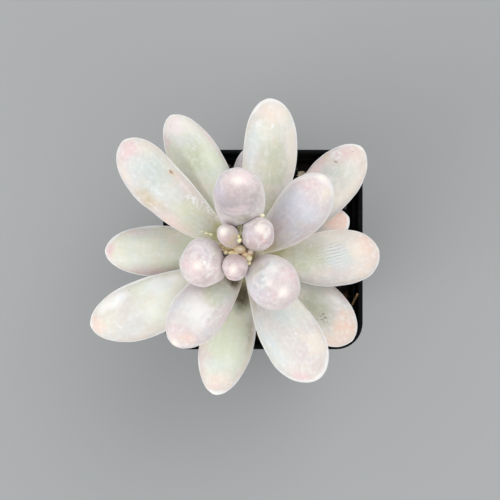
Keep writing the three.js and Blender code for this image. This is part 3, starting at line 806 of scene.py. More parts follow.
def moulded_plastic(settings):
    """Injection-moulded polypropylene, black.

    The eye sees an even satin black with a fine spark-eroded grain, a little pale dust and handling marks.
    """
    material, node, shader = blank_material("moulded black polypropylene")
    solid = node("TexCoord")["Object"]
    # Dust lies in clouds of 9 mm. The mould's grain is drawn at 0.6 mm, coarser than life, so that it shows.
    clouds = node("TexNoise", {"Vector": solid, "Scale": 1 / (9 * MM), "Detail": 5, "Roughness": 0.7})[0]
    grain = node("TexNoise", {"Vector": solid, "Scale": 1 / (0.6 * MM), "Detail": 2})[0]
    # Scuffs are drawn out level round the pot, 0.4 mm high and 8 mm long.
    drawn = node("Mapping", {0: solid, "Scale": (125, 125, 2500)})[0]
    scuffs = node("TexNoise", {"Vector": drawn, "Scale": 1, "Detail": 3})[0]
    dusty = node("MapRange", {"Value": clouds, "From Min": 0.5, "From Max": 0.85, "To Max": 0.05})[0]
    scuffed = {"Value": scuffs, "From Min": 0.35, "From Max": 0.7, "To Min": 0.34, "To Max": 0.56}
    surface = {
        "Base Color": node("Mix", {0: dusty, 6: settings.colour, 7: settings.dust}, data_type="RGBA")[2],
        "Roughness": node("MapRange", scuffed)[0],
        "Normal": node("Bump", {"Strength": 0.35, "Distance": 0.05 * MM, "Height": grain})[0],
        "IOR": 1.49,
        "Specular IOR Level": 0.08,
    }
    connect(shader, surface)
    return material


def broken_matter(name, main, other, feature, roughness=0.9):
    """A dry, broken material. The eye sees matt crumbs in two mixed colours, in blotches feature across."""
    material, node, shader = blank_material(name)
    solid = node("TexCoord")["Object"]
    blotches = node("TexNoise", {"Vector": solid, "Scale": 1 / feature, "Detail": 4, "Roughness": 0.65})[0]
    share = node("MapRange", {"Value": blotches, "From Min": 0.35, "From Max": 0.7})[0]
    surface = {
        "Base Color": node("Mix", {0: share, 6: main, 7: other}, data_type="RGBA")[2],
        "Normal": node("Bump", {"Strength": 0.8, "Distance": feature / 4, "Height": blotches})[0],
        "Roughness": roughness,
        "Specular IOR Level": 0.3,
    }
    connect(shader, surface)
    return material


def stem_skin(settings):
    """Young succulent stem: green skin turning to cork.

    The eye sees matt olive with tan scars and a brown foot.
    """
    material, node, shader = blank_material("corky stem skin")
    solid = node("TexCoord")["Object"]
    scar = node("Attribute", attribute_name="scar")["Fac"]
    height = node("SeparateXYZ", {0: solid})["Z"]
    # Blotches of 1.5 mm.
    blotches = node("TexNoise", {"Vector": solid, "Scale": 1 / (1.5 * MM), "Detail": 4, "Roughness": 0.6})[0]
    foot = node("MapRange", {"Value": height, "From Min": 62 * MM, "From Max": 48 * MM, "To Max": 0.9})[0]
    patchy = node("MapRange", {"Value": blotches, "From Min": 0.45, "From Max": 0.7, "To Max": 0.5})[0]
    corky = node("Math", {0: foot, 1: patchy}, operation="MAXIMUM")[0]
    corky = node("Math", {0: corky, 1: scar}, operation="MAXIMUM")[0]
    surface = {
        "Base Color": node("Mix", {0: corky, 6: settings.skin, 7: settings.cork}, data_type="RGBA")[2],
        "Normal": node("Bump", {"Strength": 0.7, "Distance": 0.2 * MM, "Height": blotches})[0],
        "Roughness": 0.75,
    }
    connect(shader, surface)
    return material


def painted_floor(settings):
    """Smooth painted board: the eye sees a plain pale matt sheet."""
    material, _, shader = blank_material("pale painted board")
    connect(shader, {"Base Color": settings.floor, "Roughness": 0.8})
    return material


# Meshes


def finish_piece(name, bm, materials, slot=None, stands_for=(), shade_smooth=True):
    """Turns a bmesh into an object in place; given a slot, hangs it on the body and hides the frame's parts
    it stands for.
    """
    for face in bm.faces:
        face.smooth = shade_smooth
    mesh = bpy.data.meshes.new(name)
    bm.to_mesh(mesh)
    bm.free()
    for material in materials:
        mesh.materials.append(material)
    piece = bpy.data.objects.new(name, mesh)
    bpy.context.scene.collection.objects.link(piece)
    if slot:
        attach(piece, BODY)
        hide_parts(*stands_for)
    return piece


def edges_of(made):
    return [item for item in made["geom"] if isinstance(item, bmesh.types.BMEdge)]


def verts_of(made):
    return [item for item in made["geom"] if isinstance(item, bmesh.types.BMVert)]


def wall_half(z, inset=0.0):
    return mix(WALL_BASE_HALF, WALL_RIM_HALF, z / POT_HIGH.z) - inset


def wall_corner(z, inset=0.0):
    return mix(CORNER_BASE, CORNER_RIM, z / POT_HIGH.z) - inset


def square_ring(bm, z, inset):
    """The edges of a level square with round corners, on the pot's wall at a height or inside it."""
    made = bmesh.ops.create_grid(bm, x_segments=1, y_segments=1, size=wall_half(z, inset))
    bmesh.ops.translate(bm, vec=(0, 0, z), verts=made["verts"])
    bmesh.ops.bevel(
        bm,
        geom=made["verts"],
        offset=wall_corner(z, inset),
        offset_type="OFFSET",
        segments=CORNER_STEPS,
        profile=0.5,
        affect="VERTICES",
        material=-1,
    )
    bmesh.ops.delete(bm, geom=bm.faces[:], context="FACES_ONLY")
    return bm.edges[:]


def draw_out(bm, ring, start, end):
    """Draws a ring on the pot's wall out to another height and inset, each given as a pair."""
    drawn = bmesh.ops.extrude_edge_only(bm, edges=ring)
    corner, goal_corner = wall_corner(*start), wall_corner(*end)
    core, goal_core = wall_half(*start) - corner, wall_half(*end) - goal_corner
    for vert in verts_of(drawn):
        for axis in (0, 1):
            out = abs(vert.co[axis]) - core
            vert.co[axis] = math.copysign(goal_core + out / corner * goal_corner, vert.co[axis])
        vert.co.z = end[0]
    return edges_of(drawn)


def make_pot(settings):
    """A tapered tub: one wall profile from the foot, over the lip and down the inside, and a pierced floor.

    Each step of the profile is a height and how far it stands in from the outer wall.
    """
    bm = bmesh.new()
    top = settings.height
    lip = settings.lip_half - WALL_RIM_HALF
    foot = top - settings.lip_height
    profile = [
        (0, 0.8 * MM),
        (0.2 * MM, 0.35 * MM),
        (0.8 * MM, 0),
        (foot - 0.2 * MM, 0),
        (foot, -0.1 * MM),
        (foot + 0.25 * MM, 0.1 * MM - lip),
        (foot + 0.5 * MM, -lip),
        (top - 0.5 * MM, -lip),
        (top - 0.15 * MM, 0.12 * MM - lip),
        (top, 0.45 * MM - lip),
        (top, settings.wall - 0.35 * MM),
        (top - 0.12 * MM, settings.wall - 0.1 * MM),
        (top - 0.45 * MM, settings.wall),
        (foot + 0.3 * MM, settings.wall),
        (foot, settings.wall + 0.15 * MM),
        (foot - 0.15 * MM, settings.wall + 0.75 * MM),
        (foot - 0.7 * MM, settings.wall + 0.9 * MM),
        (2 * MM, settings.wall + 0.6 * MM),
        (1.4 * MM, settings.wall + 0.8 * MM),
        (POT_FLOOR, settings.wall + 1.4 * MM),
    ]
    rings = [square_ring(bm, *profile[0])]
    for start, end in zip(profile, profile[1:]):
        rings.append(draw_out(bm, rings[-1], start, end))
    drains = {"under": [], "over": []}
    for level, z in (("under", 0), ("over", POT_FLOOR)):
        for across in (-1, 1):
            for deep in (-1, 1):
                place = Matrix.Translation((across * DRAIN_FROM_CENTRE, deep * DRAIN_FROM_CENTRE, z))
                hole = {"segments": DRAIN_SIDES, "radius": settings.drain_radius, "matrix": place}
                made = bmesh.ops.create_circle(bm, **hole)
                drains[level].append(list({edge for vert in made["verts"] for edge in vert.link_edges}))
    for ring, level in ((rings[0], "under"), (rings[-1], "over")):
        holes = [edge for hole in drains[level] for edge in hole]
        bmesh.ops.triangle_fill(bm, use_beauty=True, use_dissolve=False, edges=ring + holes)
    for under, over in zip(drains["under"], drains["over"]):
        bmesh.ops.bridge_loops(bm, edges=under + over)
    bmesh.ops.recalc_face_normals(bm, faces=bm.faces)
    # Smooth shading stops at the edges that turn more than this.
    for edge in bm.edges:
        edge.smooth = len(edge.link_faces) == 2 and edge.calc_face_angle(0) < SHARPEST_SMOOTH_EDGE
    finish_piece("nursery_pot", bm, [moulded_plastic(settings)], "pot_plastic", ["pot"])


def mix_surface(x, y):
    """Height of the potting mix at a place: slow swells, crumbs, and a dip where the stem goes in."""
    place = Vector((x, y, 0))
    height = 0
    for rise, size, shift in MIX_RELIEF:
        height += rise * noise.noise(place / size + Vector(shift))
    from_stem = math.hypot(x - STEM_FOOT.x, y - STEM_FOOT.y)
    return MIX_TOP + height - STEM_DIP * smooth(from_stem, STEM_RADIUS_FOOT, STEM_RADIUS_FOOT - STEM_DIP_EDGE)


def mix_bed(bm):
    """The mix's body: a fine grid squeezed into the pot's round-cornered square, with sides and base."""
    half = wall_half(MIX_TOP, MIX_CLEAR)
    corner = wall_corner(MIX_TOP, MIX_CLEAR)
    core = half - corner
    bmesh.ops.create_grid(bm, x_segments=MIX_SQUARES, y_segments=MIX_SQUARES, size=half)
    for vert in bm.verts:
        middle = Vector((math.copysign(core, vert.co.x), math.copysign(core, vert.co.y), 0))
        out = vert.co - middle
        if abs(vert.co.x) > core and abs(vert.co.y) > core:
            # A square's corner becomes a quarter circle: each place keeps its share of the way out.
            reach = max(abs(out.x), abs(out.y))
            vert.co = middle + out.normalized() * reach
    border = [edge for edge in bm.edges if len(edge.link_faces) == 1]
    for vert in bm.verts:
        vert.co.z = mix_surface(vert.co.x, vert.co.y)
    walls = bmesh.ops.extrude_edge_only(bm, edges=border)
    shrink = wall_half(MIX_FLOOR, MIX_CLEAR) / half
    for vert in verts_of(walls):
        vert.co = (vert.co.x * shrink, vert.co.y * shrink, MIX_FLOOR)
    bmesh.ops.contextual_create(bm, geom=edges_of(walls))
    bmesh.ops.recalc_face_normals(bm, faces=bm.faces)


def lump(bm, random_, place, size, flatness, tilt, material_index, detail=1):
    """A broken grain: a small ball stretched, turned and knocked out of true."""
    turns = Euler((random_.uniform(-tilt, tilt), random_.uniform(-tilt, tilt), random_.uniform(0, math.tau)))
    matrix = Matrix.Translation(place) @ turns.to_matrix().to_4x4()
    matrix = matrix @ Matrix.Diagonal((size, size * random_.uniform(0.55, 0.95), size * flatness, 1))
    made = bmesh.ops.create_icosphere(bm, subdivisions=detail, radius=0.5, matrix=matrix)
    for vert in made["verts"]:
        vert.co += Vector([random_.uniform(-GRAIN_KNOCK, GRAIN_KNOCK) * size for _ in range(3)])
    for face in {face for vert in made["verts"] for face in vert.link_faces}:
        face.material_index = material_index
    return made["verts"]


def fibre(bm, random_, start, heading, length, radius, material_index, rise=0.4, bend=0.35):
    """A thin strand that wanders over the surface."""
    made = bmesh.ops.create_circle(bm, segments=FIBRE_SIDES, radius=radius, cap_ends=True)
    place = Matrix.Translation(start) @ Vector((0, 0, 1)).rotation_difference(heading).to_matrix().to_4x4()
    bmesh.ops.transform(bm, matrix=place, verts=made["verts"])
    ring = list({edge for vert in made["verts"] for edge in vert.link_edges})
    faces = {face for vert in made["verts"] for face in vert.link_faces}
    for _ in range(FIBRE_STEPS):
        extruded = bmesh.ops.extrude_edge_only(bm, edges=ring)
        verts = verts_of(extruded)
        sideways = [random_.uniform(-bend, bend), random_.uniform(-bend, bend)]
        turn = Vector([*sideways, random_.uniform(-rise, rise) / 2])
        heading = (heading + turn).normalized()
        bmesh.ops.translate(bm, vec=heading * length / FIBRE_STEPS, verts=verts)
        ring = edges_of(extruded)
        faces |= {face for vert in verts for face in vert.link_faces}
    faces |= set(bmesh.ops.contextual_create(bm, geom=ring)["faces"])
    for face in faces:
        face.material_index = material_index


def make_mix(settings):
    """The potting mix: a crumbly bed with bark chips, pale pumice, grit and fibres lying in it."""
    bm = bmesh.new()
    mix_bed(bm)
    random_ = random.Random(MIX_SEED)
    reach = wall_half(MIX_TOP, MIX_CLEAR) - WALL_MARGIN
    round_corner = wall_corner(MIX_TOP, MIX_CLEAR)
    laid = 0
    while laid < settings.grains:
        x, y = random_.uniform(-reach, reach), random_.uniform(-reach, reach)
        chance = random_.random()
        corner = max(abs(x) - reach + round_corner, 0), max(abs(y) - reach + round_corner, 0)
        from_stem = math.hypot(x - STEM_FOOT.x, y - STEM_FOOT.y)
        if math.hypot(*corner) > round_corner or from_stem < STEM_RADIUS_FOOT + STEM_MARGIN:
            continue
        laid += 1
        place = Vector((x, y, mix_surface(x, y) + GRAIN_LIFT))
        grain = next(kind for kind in GRAINS if chance < kind.up_to)
        size = random_.uniform(grain.least, grain.most) * MM
        lump(bm, random_, place, size, grain.flatness, grain.tilt, grain.material)
    for x, y, z, size, *form in BITS_IN_SIGHT:
        lump(bm, random_, Vector((x, y, z)) * MM, size * MM, *form, detail=2)
    for _ in range(settings.fibres):
        x, y = random_.uniform(-reach, reach) * 0.9, random_.uniform(-reach, reach) * 0.9
        turn = random_.uniform(0, math.tau)
        heading = Vector((math.cos(turn), math.sin(turn), 0.1))
        start = Vector((x, y, mix_surface(x, y) + FIBRE_LIFT))
        fibre(bm, random_, start, heading, random_.uniform(3, 8) * MM, FIBRE_RADIUS, COIR)
    # A pale twig leans on the right-hand wall.
    twig = {"rise": 0.05, "bend": 0.12}
    fibre(bm, random.Random(TWIG_SEED), TWIG_FOOT, TWIG_HEADING, TWIG_LENGTH, TWIG_RADIUS, COIR, **twig)
    # In the order of PEAT, BARK, GRIT, PUMICE and COIR, each with the size of its blotches.
    materials = [
        broken_matter("peat", settings.peat, linear("120D0A"), 0.8 * MM),
        broken_matter("composted bark", settings.bark, linear("38251A"), 1.1 * MM, 0.8),
        broken_matter("grey grit", linear("6E6A64"), linear("3C3936"), 0.6 * MM),
        broken_matter("pumice", settings.pumice, linear("C2AC8B"), 0.7 * MM),
        broken_matter("coir fibre", linear("A98B66"), linear("7B5B3C"), 0.5 * MM),
    ]
    finish_piece("bark_and_peat_mix", bm, materials, "potting_mix", ["soil"], shade_smooth=False)


def leaf_height(number):
    """The height at which a leaf leaves the stem."""
    return STEM_HEAD.z - FIRST_LEAF_DROP - number * LEAF_PITCH


def stem_at(z):
    """The stem's middle at a height, and its radius."""
    share = (z - STEM_FOOT.z) / (STEM_HEAD.z - STEM_FOOT.z)
    return STEM_FOOT.lerp(STEM_HEAD, share), mix(STEM_RADIUS_FOOT, STEM_RADIUS_HEAD, max(share, 0))


def make_stem(settings):
    """The leaning stem: a stack of rings, swollen at old scars that climb it in the leaves' own spiral."""
    bm = bmesh.new()
    scar = bm.verts.layers.float.new("scar")
    low = STEM_FOOT.z - ROOT_DEPTH
    made = bmesh.ops.create_circle(bm, segments=STEM_SIDES, radius=1, cap_ends=True)
    bmesh.ops.reverse_faces(bm, faces=bm.faces)
    ring = list(bm.edges)
    stack = [made["verts"]]
    for _ in range(STEM_ROWS):
        extruded = bmesh.ops.extrude_edge_only(bm, edges=ring)
        ring = edges_of(extruded)
        stack.append(verts_of(extruded))
    bmesh.ops.contextual_create(bm, geom=ring)
    scars = []
    for number in range(len(LEAVES), len(LEAVES) + SCAR_COUNT):
        turn = math.radians(FIRST_TURN + number * GOLDEN_ANGLE + SCAR_TURN)
        scars.append((turn, leaf_height(number)))
    for row, verts in enumerate(stack):
        z = mix(low, STEM_HEAD.z, row / STEM_ROWS)
        centre, radius = stem_at(z)
        rooted = mix(ROOT_TIP, 1, smooth(z, low, STEM_FOOT.z))
        for vert in verts:
            turn = math.atan2(vert.co.y, vert.co.x)
            out = Vector((math.cos(turn), math.sin(turn), 0))
            proud = STEM_ROUGHNESS * noise.noise(Vector((turn * 2, z / (3 * MM), 4)))
            mark = 0
            for scar_turn, scar_z in scars:
                across = math.remainder(turn - scar_turn, math.tau) * radius / SCAR_HALF_WIDTH
                climb = (z - scar_z) / SCAR_HALF_HEIGHT
                mark = max(mark, math.exp(-(across**2 + climb**2) ** 2))
            vert[scar] = mark
            vert.co = centre + out * (radius + proud + settings.scar_depth * mark) * rooted
    bmesh.ops.recalc_face_normals(bm, faces=bm.faces)
    finish_piece("scarred_stem", bm, [stem_skin(settings)], "stem_skin", ["stem"])


def bead(bm, tint, place, length, width, lean, toward, code):
    """An egg-shaped bud standing on its end, leaning some degrees toward a compass turn."""
    axis = Vector((-math.sin(math.radians(toward)), math.cos(math.radians(toward)), 0))
    matrix = Matrix.Translation(place) @ Matrix.Rotation(math.radians(lean), 4, axis)
    matrix = matrix @ Matrix.Diagonal((width / 2, width / 2, length / 2, 1))
    made = bmesh.ops.create_uvsphere(bm, u_segments=20, v_segments=16, radius=1, matrix=matrix)
    for vert in made["verts"]:
        # Painted light: each bead turns paler towards its top, whichever way it leans.
        lit_top = smooth((vert.co - place).z, 0, length / 2)
        colour = Vector(linear(code)[:3]).lerp(Vector(linear(TOP_LIGHT)[:3]), TOP_LIGHT_STRENGTH * lit_top**3)
        vert[tint] = (*colour, 1)


def make_growing_tip(settings):
    """Leaf buds packed round the stem's head, on a low cushion, with a plump golden bud in the middle."""
    bm = bmesh.new()
    tint = bm.verts.layers.float_color.new("tint")
    bead(bm, tint, STEM_HEAD + CUSHION_LIFT, CUSHION_LENGTH, CUSHION_WIDTH, 0, 0, BRASS)
    for item in BEADS:
        place = Vector((item.x, item.y, item.z)) * MM
        bead(bm, tint, place, item.length * MM, item.width * MM, item.lean, item.toward, item.tint)
    finish_piece("bud_cluster", bm, [waxy_bud(settings)], "bud_skin", ["growing_tip"])


def leaf_outline(along, leaf):
    """How wide a leaf is at a share of its length, as a share of its full width."""
    if along <= WIDEST_AT:
        return mix(NECK, 1, math.sin(along / WIDEST_AT * math.pi / 2) ** leaf.waist)
    past = (along - WIDEST_AT) / (1 - WIDEST_AT)
    return max(1 - past**leaf.blunt, 0) ** END_ROUNDNESS


def leaf_profile(leaf, rings):
    """Shares of length and of width from root to tip, in even steps up the leaf's side, with a round root."""
    line = []
    for step in range(ROOT_CAP_STEPS):
        turn = step / ROOT_CAP_STEPS * math.pi / 2
        line.append((-ROOT_CAP * math.cos(turn), NECK * math.sin(turn)))
    for step in range(PROFILE_STEPS + 1):
        along = math.sin(step / PROFILE_STEPS * math.pi / 2)
        line.append((along, leaf_outline(along, leaf)))
    travelled = [0.0]
    for (a, wide_a), (b, wide_b) in zip(line, line[1:]):
        step = math.hypot((b - a) * leaf.length, (wide_b - wide_a) * leaf.width / 2)
        travelled.append(travelled[-1] + step)
    stations = []
    for ring in range(rings + 1):
        goal = travelled[-1] * ring / rings
        at = min(max(bisect_left(travelled, goal), 1), len(line) - 1)
        share = (goal - travelled[at - 1]) / (travelled[at] - travelled[at - 1])
        stations.append([mix(low, high, share) for low, high in zip(line[at - 1], line[at])])
    return stations


def leaf_heading(number, leaf, along):
    """The way a leaf grows at a share of its length, with its own left and its upper face."""
    along = max(along, 0)
    turn = math.radians(FIRST_TURN + number * GOLDEN_ANGLE + leaf.swing + leaf.sway * (along - 0.5))
    lift = math.radians(mix(leaf.rise, leaf.tip, along))
    side = Vector((-math.sin(turn), math.cos(turn), 0))
    ahead = Vector((math.cos(turn) * math.cos(lift), math.sin(turn) * math.cos(lift), math.sin(lift)))
    return ahead, side, ahead.cross(side)


def grow_leaf(bm, number, leaf, settings):
    """Shapes a ball into a leaf on its bent middle line, with slow swells and soft flats in its skin."""
    straight = bm.verts.layers.float_vector.new("straight")
    hue = bm.verts.layers.float_vector.new("hue")
    stations = leaf_profile(leaf, settings.rings)
    ripeness = min(number / RIPE_LEAF, 1)
    depth = leaf.width * mix(THICKNESS_YOUNG, THICKNESS_OLD, ripeness)
    middle, radius = stem_at(leaf_height(number))
    root = leaf_heading(number, leaf, 0)[0]
    place = middle + root * (STEM_INSET * radius + stations[0][0] * leaf.length * MM)
    frames = []
    reached = stations[0][0]
    for along, spread in stations:
        halfway = leaf_heading(number, leaf, (along + reached) / 2)[0]
        place = place + halfway * (along - reached) * leaf.length * MM
        reached = along
        frames.append((place, leaf_heading(number, leaf, along), along, spread))
    bmesh.ops.create_uvsphere(bm, u_segments=settings.sides, v_segments=settings.rings, radius=1)
    random_ = random.Random(number)
    flats = []
    for _ in range(FLAT_COUNT):
        turn = random_.uniform(0, math.tau)
        along, limit = random_.uniform(0.3, 0.8), random_.uniform(0.9, 0.96)
        flats.append((math.cos(turn), math.sin(turn), along, limit))
    for vert in bm.verts:
        ring = round(math.acos(max(-1, min(1, -vert.co.z))) / math.pi * settings.rings)
        turn = math.atan2(vert.co.y, vert.co.x)
        across, upper = math.cos(turn), math.sin(turn)
        centre, (ahead, side, face), along, spread = frames[ring]
        for flat_across, flat_upper, flat_along, limit in flats:
            excess = across * flat_across + upper * flat_upper - limit
            if excess > 0:
                fade = FLAT_DEPTH * (1 - smooth(abs(along - flat_along), FLAT_INNER, FLAT_OUTER))
                across -= flat_across * excess * fade
                upper -= flat_upper * excess * fade
        wide = across * spread * leaf.width / 2
        deep = upper * spread * depth * (UPPER_SHARE if upper > 0 else 1 - UPPER_SHARE)
        vert.co = centre + side * wide * MM + face * deep * MM
        vert[straight] = (wide, (1 - along) * leaf.length, deep)
        # The first value is the strength of the painted sheen rim, given to the open, older leaves.
        vert[hue] = (smooth(number, 5, 9), leaf.blush, leaf.warmth)
    bm.normal_update()
    for vert in bm.verts:
        slow = noise.noise(vert.co / SWELL_SIZE + Vector((number, 0, 0)))
        quick = noise.noise(vert.co / QUICK_SWELL_SIZE + Vector((0, number, 0)))
        nib = math.exp(-vert[straight].length_squared / NIB_SPREAD)
        vert.co += vert.normal * (settings.swell * (slow + QUICK_SWELL_SHARE * quick) + NIB_HEIGHT * nib)
    return depth * MM


def leaf_place(leaf, along, around):
    """A place on a leaf's skin, given as in the patches, in its straightened millimetres."""
    spread = leaf_outline(along, leaf)
    turn = around * math.pi / 2
    depth = leaf.width * THICKNESS_OLD * spread * (UPPER_SHARE if math.cos(turn) > 0 else 1 - UPPER_SHARE)
    wide = math.sin(turn) * spread * leaf.width / 2
    return Vector((wide, (1 - along) * leaf.length, math.cos(turn) * depth))


def nearness(place, mark, item):
    """1 at the middle of a patch or blemish, falling to 0 at its reach."""
    gap = place - mark
    distance = math.hypot(gap.x, gap.y / item.stretch, gap.z)
    return 1 - smooth(distance, PATCH_CORE * item.reach, item.reach)


def colour_leaf(bm, number, leaf, settings):
    """Writes the flesh colour and the blemishes into a leaf's skin, and sinks its healed pits."""
    straight = bm.verts.layers.float_vector["straight"]
    flesh = bm.verts.layers.float_color.new("flesh")
    worn = bm.verts.layers.float_vector.new("worn")
    dirt = bm.verts.layers.float_vector.new("dirt")
    patches = [
        (item, leaf_place(leaf, item.along, item.around), Vector(linear(item.tint)[:3]))
        for item in PATCHES
        if item.leaf == number + 1
    ]
    blemishes = [
        (item, leaf_place(leaf, item.along, item.around)) for item in BLEMISHES if item.leaf == number + 1
    ]
    lavender, green = Vector(settings.lavender[:3]), Vector(settings.green[:3])
    neck = Vector((settings.young_neck if number < RIPE_LEAF else settings.old_neck)[:3])
    bm.normal_update()
    for vert in bm.verts:
        drift = DRIFT * noise.noise(vert[straight] / DRIFT_SIZE + Vector((0, 0, number)))
        colour = lavender.lerp(green, min(max(leaf.green + drift, 0), 1))
        # The neck, towards the stem, keeps its flesh colour.
        along = 1 - vert[straight].y / leaf.length
        away = smooth(along + 0.08 * drift, NECK_COLOUR_FROM, NECK_COLOUR_TO)
        colour = colour.lerp(neck, NECK_STRENGTH * (1 - away))
        wander = WANDER * noise.noise_vector(vert[straight] / WANDER_SIZE + Vector((number, 0, 0)))
        wander += FRAY * noise.noise_vector(vert[straight] / FRAY_SIZE + Vector((0, number, 0)))
        for item, mark, tint in patches:
            colour = colour.lerp(tint, item.strength * nearness(vert[straight] + wander, mark, item))
        vert[flesh] = (*colour, 1)
        found = {"sore": 0, "chalk": 0, "grit": 0, "comb": 0, "bare": 0, "swirl": 0}
        for item, mark in blemishes:
            near = item.strength * nearness(vert[straight] + wander * BLEMISH_WANDER, mark, item)
            found[item.kind] = max(found[item.kind], near)
        vert[worn] = (found["sore"], found["bare"], found["chalk"])
        vert[dirt] = (found["grit"], found["comb"], found["swirl"])
        # The skin sinks where a sore has healed.
        vert.co -= vert.normal * PIT_DEPTH * smooth(found["sore"], 0.4, 0.9)


def press(bm, younger, depth, gap):
    """Dents a leaf where younger leaves lie against it, and notes that its bloom is rubbed there."""
    worn = bm.verts.layers.float_vector["worn"]
    bm.normal_update()
    moved = set()
    for tree, low, high in younger:
        for vert in bm.verts:
            if not all(low[i] - RUB_REACH < vert.co[i] < high[i] + RUB_REACH for i in range(3)):
                continue
            place, normal, _, distance = tree.find_nearest(vert.co, depth)
            if place is None:
                continue
            outside = (vert.co - place).dot(normal)
            if abs(outside) < FACING * distance:
                # The nearest place is an edge or fold, whose side can't be told: the leaf isn't against it.
                continue
            near = 1 - smooth(outside, gap, RUB_REACH)
            if near > 0:
                vert[worn] = (vert[worn].x, max(vert[worn].y, near), vert[worn].z)
            if outside >= gap:
                continue
            if outside > 0:
                travel = gap - outside
            else:
                hit = tree.ray_cast(vert.co, -vert.normal, depth)
                travel = (hit[3] if hit[0] else depth) + gap
            vert.co -= vert.normal * min(travel, depth * DEEPEST_DENT)
            moved.add(vert)
    if moved:
        every_way = {"use_axis_x": True, "use_axis_y": True, "use_axis_z": True}
        bmesh.ops.smooth_vert(bm, verts=list(moved), factor=0.4, **every_way)


def make_leaves(settings):
    """All the leaves, youngest first, each pressed by those above it."""
    # Left alone, Blender seeds its noise vectors from the clock, and the patches' outlines differ each run.
    noise.seed_set(NOISE_SEED)
    young_skin = waxy_leaf("young waxy leaf skin", settings, 0.65)
    old_skin = waxy_leaf("old waxy leaf skin", settings, 0.2)
    younger = []
    for number, leaf in enumerate(LEAVES):
        bm = bmesh.new()
        depth = grow_leaf(bm, number, leaf, settings)
        colour_leaf(bm, number, leaf, settings)
        press(bm, younger, depth, settings.gap)
        low = [min(vert.co[i] for vert in bm.verts) for i in range(3)]
        high = [max(vert.co[i] for vert in bm.verts) for i in range(3)]
        younger.append((BVHTree.FromBMesh(bm), low, high))
        name = f"{number + 1:02d}"
        slot, skin = ("leaf_young", young_skin) if number < RIPE_LEAF else ("leaf_old", old_skin)
        finish_piece("plump_leaf_" + name, bm, [skin], slot, ["leaf_" + name])


def make_stage(settings):
    """A plain pale floor, a big soft light above, weaker fills, an even sky, and the camera looking down."""
    scene = bpy.context.scene
    bm = bmesh.new()
    bmesh.ops.create_grid(bm, x_segments=1, y_segments=1, size=FLOOR_HALF)
    finish_piece("floor", bm, [painted_floor(settings)])
    world = bpy.data.worlds.new("even sky")
    scene.world = world
    world.use_nodes = True
    connect(world.node_tree.nodes["Background"], {"Color": linear("F4F6F8"), "Strength": settings.sky})
    for name, (place, size, share) in LIGHTS.items():
        lamp = bpy.data.lights.new(name + " softbox", "AREA")
        lamp.size = size
        lamp.energy = settings.key_power * share
        holder = bpy.data.objects.new(name + "_softbox", lamp)
        holder.location = place
        holder.rotation_euler = (-Vector(place)).to_track_quat("-Z", "Y").to_euler()
        scene.collection.objects.link(holder)
    lens = bpy.data.cameras.new("camera")
    lens.sensor_width = SENSOR_MM
    lens.lens = settings.lens
    camera = bpy.data.objects.new("camera", lens)
    camera.location = (CAMERA_ACROSS, CAMERA_DEEP, settings.camera_height)
    scene.collection.objects.link(camera)
    scene.camera = camera
    scene.view_settings.view_transform = "Standard"


# Operators and panel


class PACHYPHYTUM_OT_stage(bpy.types.Operator):
    """Lays the floor and sets up the lights and the camera"""

    bl_idname = "pachyphytum.stage"
    bl_label = "Stage"

    def execute(self, context):
        make_stage(context.scene.pachyphytum_stage)
        return {"FINISHED"}


class PACHYPHYTUM_OT_pot(bpy.types.Operator):
    """Moulds the square nursery pot"""

    bl_idname = "pachyphytum.pot"
    bl_label = "Pot"

    def execute(self, context):
        make_pot(context.scene.pachyphytum_pot)
        return {"FINISHED"}


class PACHYPHYTUM_OT_potting_mix(bpy.types.Operator):
    """Fills the pot with bark and peat mix"""

    bl_idname = "pachyphytum.potting_mix"
    bl_label = "Potting mix"

    def execute(self, context):
        make_mix(context.scene.pachyphytum_mix)
        return {"FINISHED"}


class PACHYPHYTUM_OT_stem(bpy.types.Operator):
    """Grows the leaning, scarred stem"""

    bl_idname = "pachyphytum.stem"
    bl_label = "Stem"

    def execute(self, context):
        make_stem(context.scene.pachyphytum_stem)
        return {"FINISHED"}


class PACHYPHYTUM_OT_growing_tip(bpy.types.Operator):
    """Packs the leaf buds round the head of the stem"""

    bl_idname = "pachyphytum.growing_tip"
    bl_label = "Growing tip"

    def execute(self, context):
        make_growing_tip(context.scene.pachyphytum_leaf)
        return {"FINISHED"}


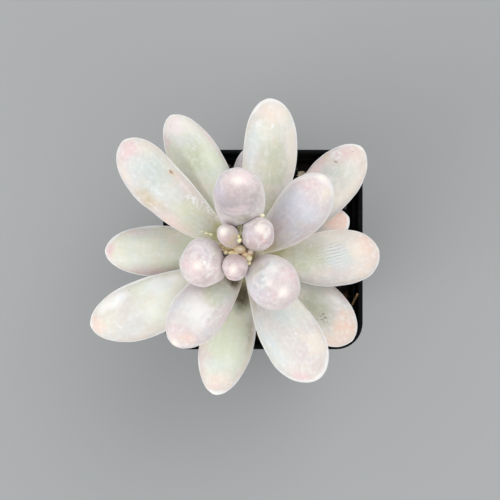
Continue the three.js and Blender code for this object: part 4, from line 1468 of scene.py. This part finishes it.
class PACHYPHYTUM_OT_leaves(bpy.types.Operator):
    """Grows the plump leaves, youngest first"""

    bl_idname = "pachyphytum.leaves"
    bl_label = "Leaves"

    def execute(self, context):
        make_leaves(context.scene.pachyphytum_leaf)
        return {"FINISHED"}


class PACHYPHYTUM_PT_panel(bpy.types.Panel):
    """Lists the settings and the operators"""

    bl_idname = "PACHYPHYTUM_PT_panel"
    bl_label = "Potted pachyphytum"
    bl_space_type = "VIEW_3D"
    bl_region_type = "UI"
    bl_category = "Pachyphytum"

    def draw(self, context):
        for name in SETTINGS:
            group = getattr(context.scene, name)
            box = self.layout.box()
            for key in group.bl_rna.properties.keys():
                if key not in ("rna_type", "name"):
                    box.prop(group, key)
        for operator in OPERATORS:
            self.layout.operator(operator.bl_idname)


SETTINGS = {
    "pachyphytum_stage": StageSettings,
    "pachyphytum_pot": PotSettings,
    "pachyphytum_mix": MixSettings,
    "pachyphytum_stem": StemSettings,
    "pachyphytum_leaf": LeafSettings,
}
OPERATORS = [
    PACHYPHYTUM_OT_stage,
    PACHYPHYTUM_OT_pot,
    PACHYPHYTUM_OT_potting_mix,
    PACHYPHYTUM_OT_stem,
    PACHYPHYTUM_OT_growing_tip,
    PACHYPHYTUM_OT_leaves,
]


def register():
    for kind in [*SETTINGS.values(), *OPERATORS, PACHYPHYTUM_PT_panel]:
        bpy.utils.register_class(kind)
    for name, kind in SETTINGS.items():
        setattr(bpy.types.Scene, name, bpy.props.PointerProperty(type=kind))


def unregister():
    for name in SETTINGS:
        delattr(bpy.types.Scene, name)
    for kind in [PACHYPHYTUM_PT_panel, *OPERATORS, *SETTINGS.values()]:
        bpy.utils.unregister_class(kind)


def write_sizes():
    """Brings the view layer up to date."""
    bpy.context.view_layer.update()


def main():
    register()
    bpy.ops.pachyphytum.stage()
    bpy.ops.pachyphytum.pot()
    bpy.ops.pachyphytum.potting_mix()
    bpy.ops.pachyphytum.stem()
    bpy.ops.pachyphytum.growing_tip()
    bpy.ops.pachyphytum.leaves()
    write_sizes()


if __name__ == "__main__":
    main()
